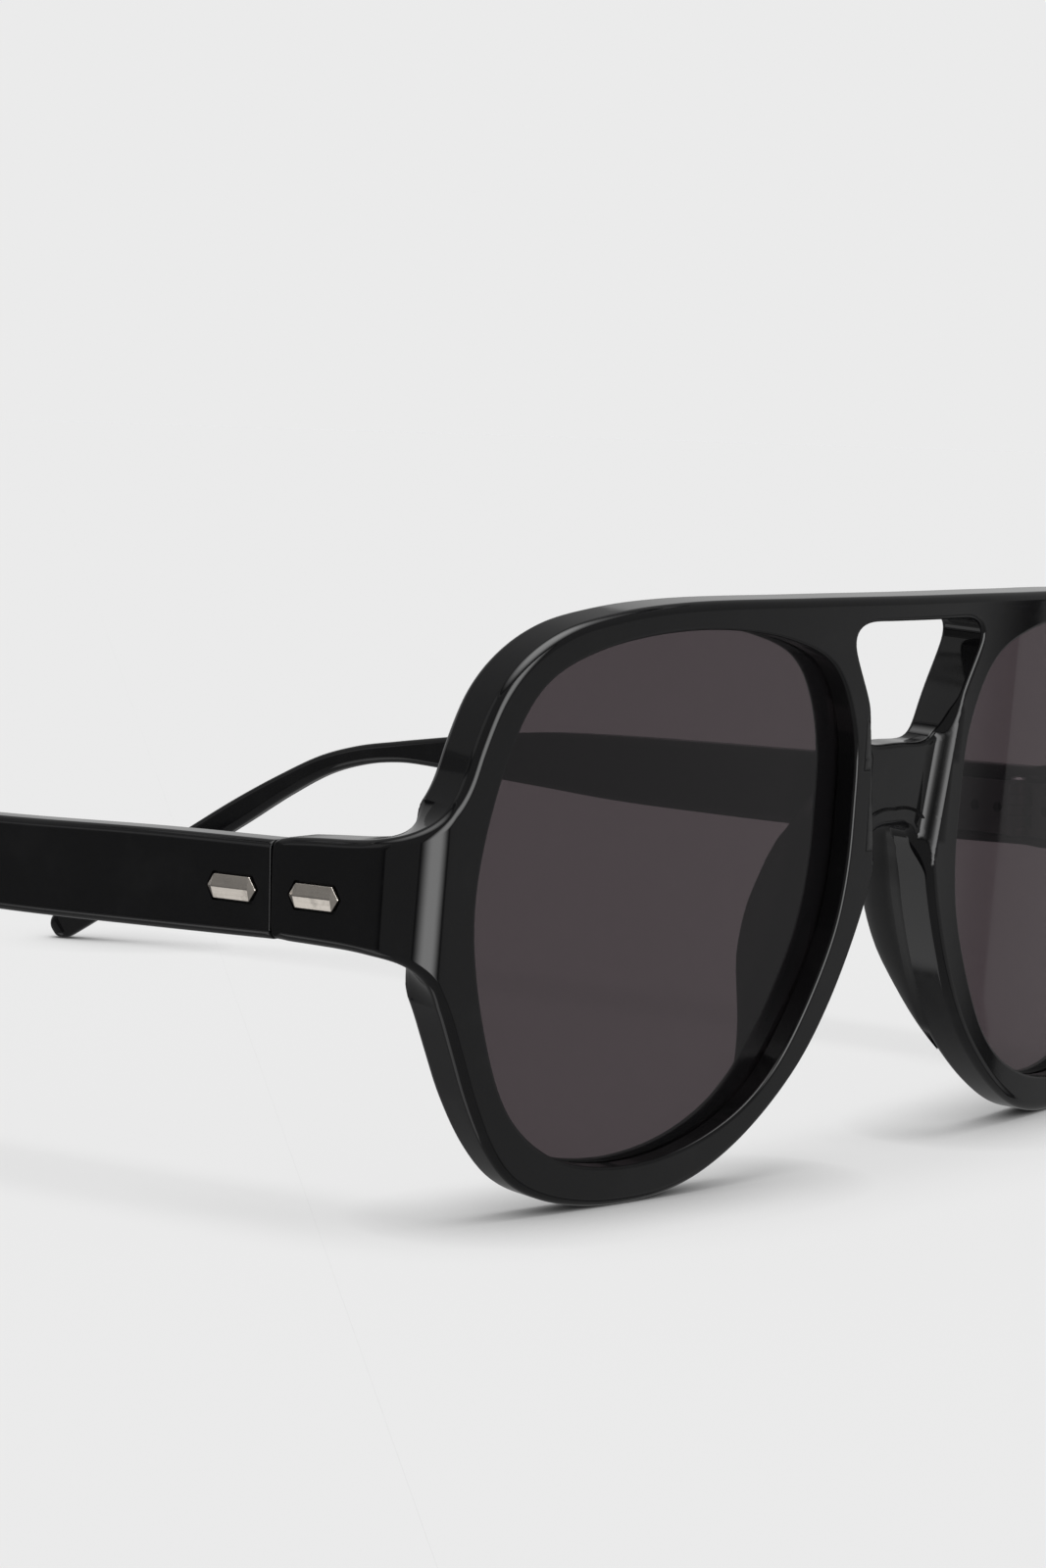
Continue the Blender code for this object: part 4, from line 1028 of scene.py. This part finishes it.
def swept_temple(name, side):
    """The temple's outside, made by the node tree on its middle line."""
    rows = temple_line()
    points = from_hinge(rows[:, :3], side) * MM
    mesh = bpy.data.meshes.new(name)
    mesh.from_pydata([tuple(p) for p in points],
                     [(i, i + 1) for i in range(len(points) - 1)], [])
    for attribute, column in (("height", 3), ("thick", 4)):
        mesh.attributes.new(attribute, "FLOAT", "POINT").data.foreach_set(
            "value", (rows[:, column] * MM).astype(np.float32))
    thing = new_object(name, mesh, black_acetate)
    sweep = thing.modifiers.new("sweep", "NODES")
    sweep.node_group = temple_tree
    set_input(sweep, "Edge Rounding", TEMPLE_ROUND * MM)
    set_input(sweep, "Section Points", 48)
    set_input(sweep, "Finish", black_acetate)
    return thing


def weighted(thing):
    """Shade by the larger faces, so that flats stay flat between rounded edges."""
    weigh = thing.modifiers.new("weigh", "WEIGHTED_NORMAL")
    weigh.keep_sharp = True
    plain(thing)


temple_tree = sweep_tree()
for side_name, side in SIDES.items():
    temple = swept_temple(f"temple_{side_name}_finished", side)
    plain(temple)
    shape = bmesh.new()
    shape.from_mesh(temple.data)
    bmesh.ops.recalc_face_normals(shape, faces=shape.faces)
    shape.to_mesh(temple.data)
    shape.free()
    cut(temple, pockets("temple", side), "FAST")
    temple.data.set_sharp_from_angle(angle=math.radians(35))
    weighted(temple)
    for attribute in ("rail_place", "rail_side", "rail_ahead", "ring_place", "height", "thick"):
        if attribute in temple.data.attributes:
            temple.data.attributes.remove(temple.data.attributes[attribute])
    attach(temple, f"{side_name}_temple")
    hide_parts(f"temple_{side_name}")

# --------------------------------------------------------------------------------------
# Plaques: long faceted hexagons of polished nickel silver, each sunk into the acetate up to
# its edge, with a ridge along its middle. Their pins are out of sight inside the acetate.
# --------------------------------------------------------------------------------------
PLAQUE_PROUD, PLAQUE_RIDGE = 0.14, 0.5
PLAQUE_HIP = 0.9             # how far in the ridge starts, as a share of the point's length
PLAQUE_EDGE = 0.07           # rounding of its edges


def metal(name, colour, shine, streak):
    """Bright metal with fine polishing lines and a little tarnish."""
    plate = Shading(name)
    place = plate.add("ShaderNodeTexCoord", output=3)
    drawn = plate.add("ShaderNodeMapping", {}, {"Vector": place, "Scale": (900, 250, 6000)})
    lines = plate.add("ShaderNodeTexNoise", {}, {"Vector": drawn, "Scale": 1.0, "Detail": 3.0})
    cloud = plate.add("ShaderNodeTexNoise", {}, {"Vector": place, "Scale": 700.0,
                                                 "Detail": 3.0})
    dull = tuple(c * 0.72 for c in colour)
    mixed = plate.add("ShaderNodeMix", {"data_type": "RGBA"},
                      {"Factor": cloud.between(0.45, 0.75) * 0.5, 6: (*colour, 1),
                       7: (*dull, 1)}, 2)
    rough = shine + lines * streak + cloud.between(0.5, 0.8) * 0.08
    bump = plate.add("ShaderNodeBump", {}, {"Height": lines, "Strength": 0.2,
                                            "Distance": 0.00001})
    return plate.surface(plate.add("ShaderNodeBsdfPrincipled", {}, {
        "Base Color": mixed, "Metallic": 1.0, "Roughness": rough, "Normal": bump}))


plaque_metal = metal("polished nickel silver", (0.80, 0.74, 0.67), 0.16, 0.1)
hinge_steel = metal("hinge steel", (0.52, 0.52, 0.53), 0.24, 0.16)


def plaque_shape(middle_y):
    """A long hexagon with a ridge along it, from the bottom of its recess to its ridge."""
    outer = AXIS_INSET + END_THICK
    half = PLAQUE_LENGTH / 2
    edge = hexagon(0.0)
    points = [(outer - PLAQUE_SINK, middle_y + y, z) for y, z in edge]
    points += [(outer + PLAQUE_PROUD, middle_y + y, z) for y, z in edge]
    points += [(outer + PLAQUE_RIDGE, middle_y - half + PLAQUE_POINT * PLAQUE_HIP, 0),
               (outer + PLAQUE_RIDGE, middle_y + half - PLAQUE_POINT * PLAQUE_HIP, 0)]
    faces = [(i, (i + 1) % 6, 6 + (i + 1) % 6, 6 + i) for i in range(6)]
    faces += [(6, 7, 12), (7, 8, 13, 12), (8, 9, 13), (9, 10, 13), (10, 11, 12, 13),
              (11, 6, 12), (0, 1, 2, 3, 4, 5)]
    return points, faces


for side_name, side in SIDES.items():
    for part in PLAQUE_Y:
        points, faces = plaque_shape(PLAQUE_Y[part])
        plaque = new_object(f"{part}_plaque_{side_name}_finished",
                            build_mesh("plaque", from_hinge(points, side), faces),
                            plaque_metal)
        plaque.data.shade_flat()
        bevel = plaque.modifiers.new("edge", "BEVEL")
        bevel.width = PLAQUE_EDGE * MM
        bevel.segments = 3
        bevel.limit_method = "ANGLE"
        bevel.angle_limit = math.radians(12)
        bevel.harden_normals = True
        plain(plaque)
        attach(plaque, "front" if part == "front" else f"{side_name}_temple")
        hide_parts(f"{part}_plaque_{side_name}")

# --------------------------------------------------------------------------------------
# Hinges and cores: steel leaves with their knuckles, the screw they turn on, and the wire
# that stiffens each temple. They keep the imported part's shapes.
# --------------------------------------------------------------------------------------
for side_name in SIDES:
    for node_name in (f"front_hinge_leaf_{side_name}", f"temple_hinge_leaf_{side_name}",
                      f"hinge_screw_{side_name}", f"temple_core_{side_name}"):
        part_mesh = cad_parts[node_name].data
        for index in range(len(part_mesh.materials)):
            part_mesh.materials[index] = hinge_steel
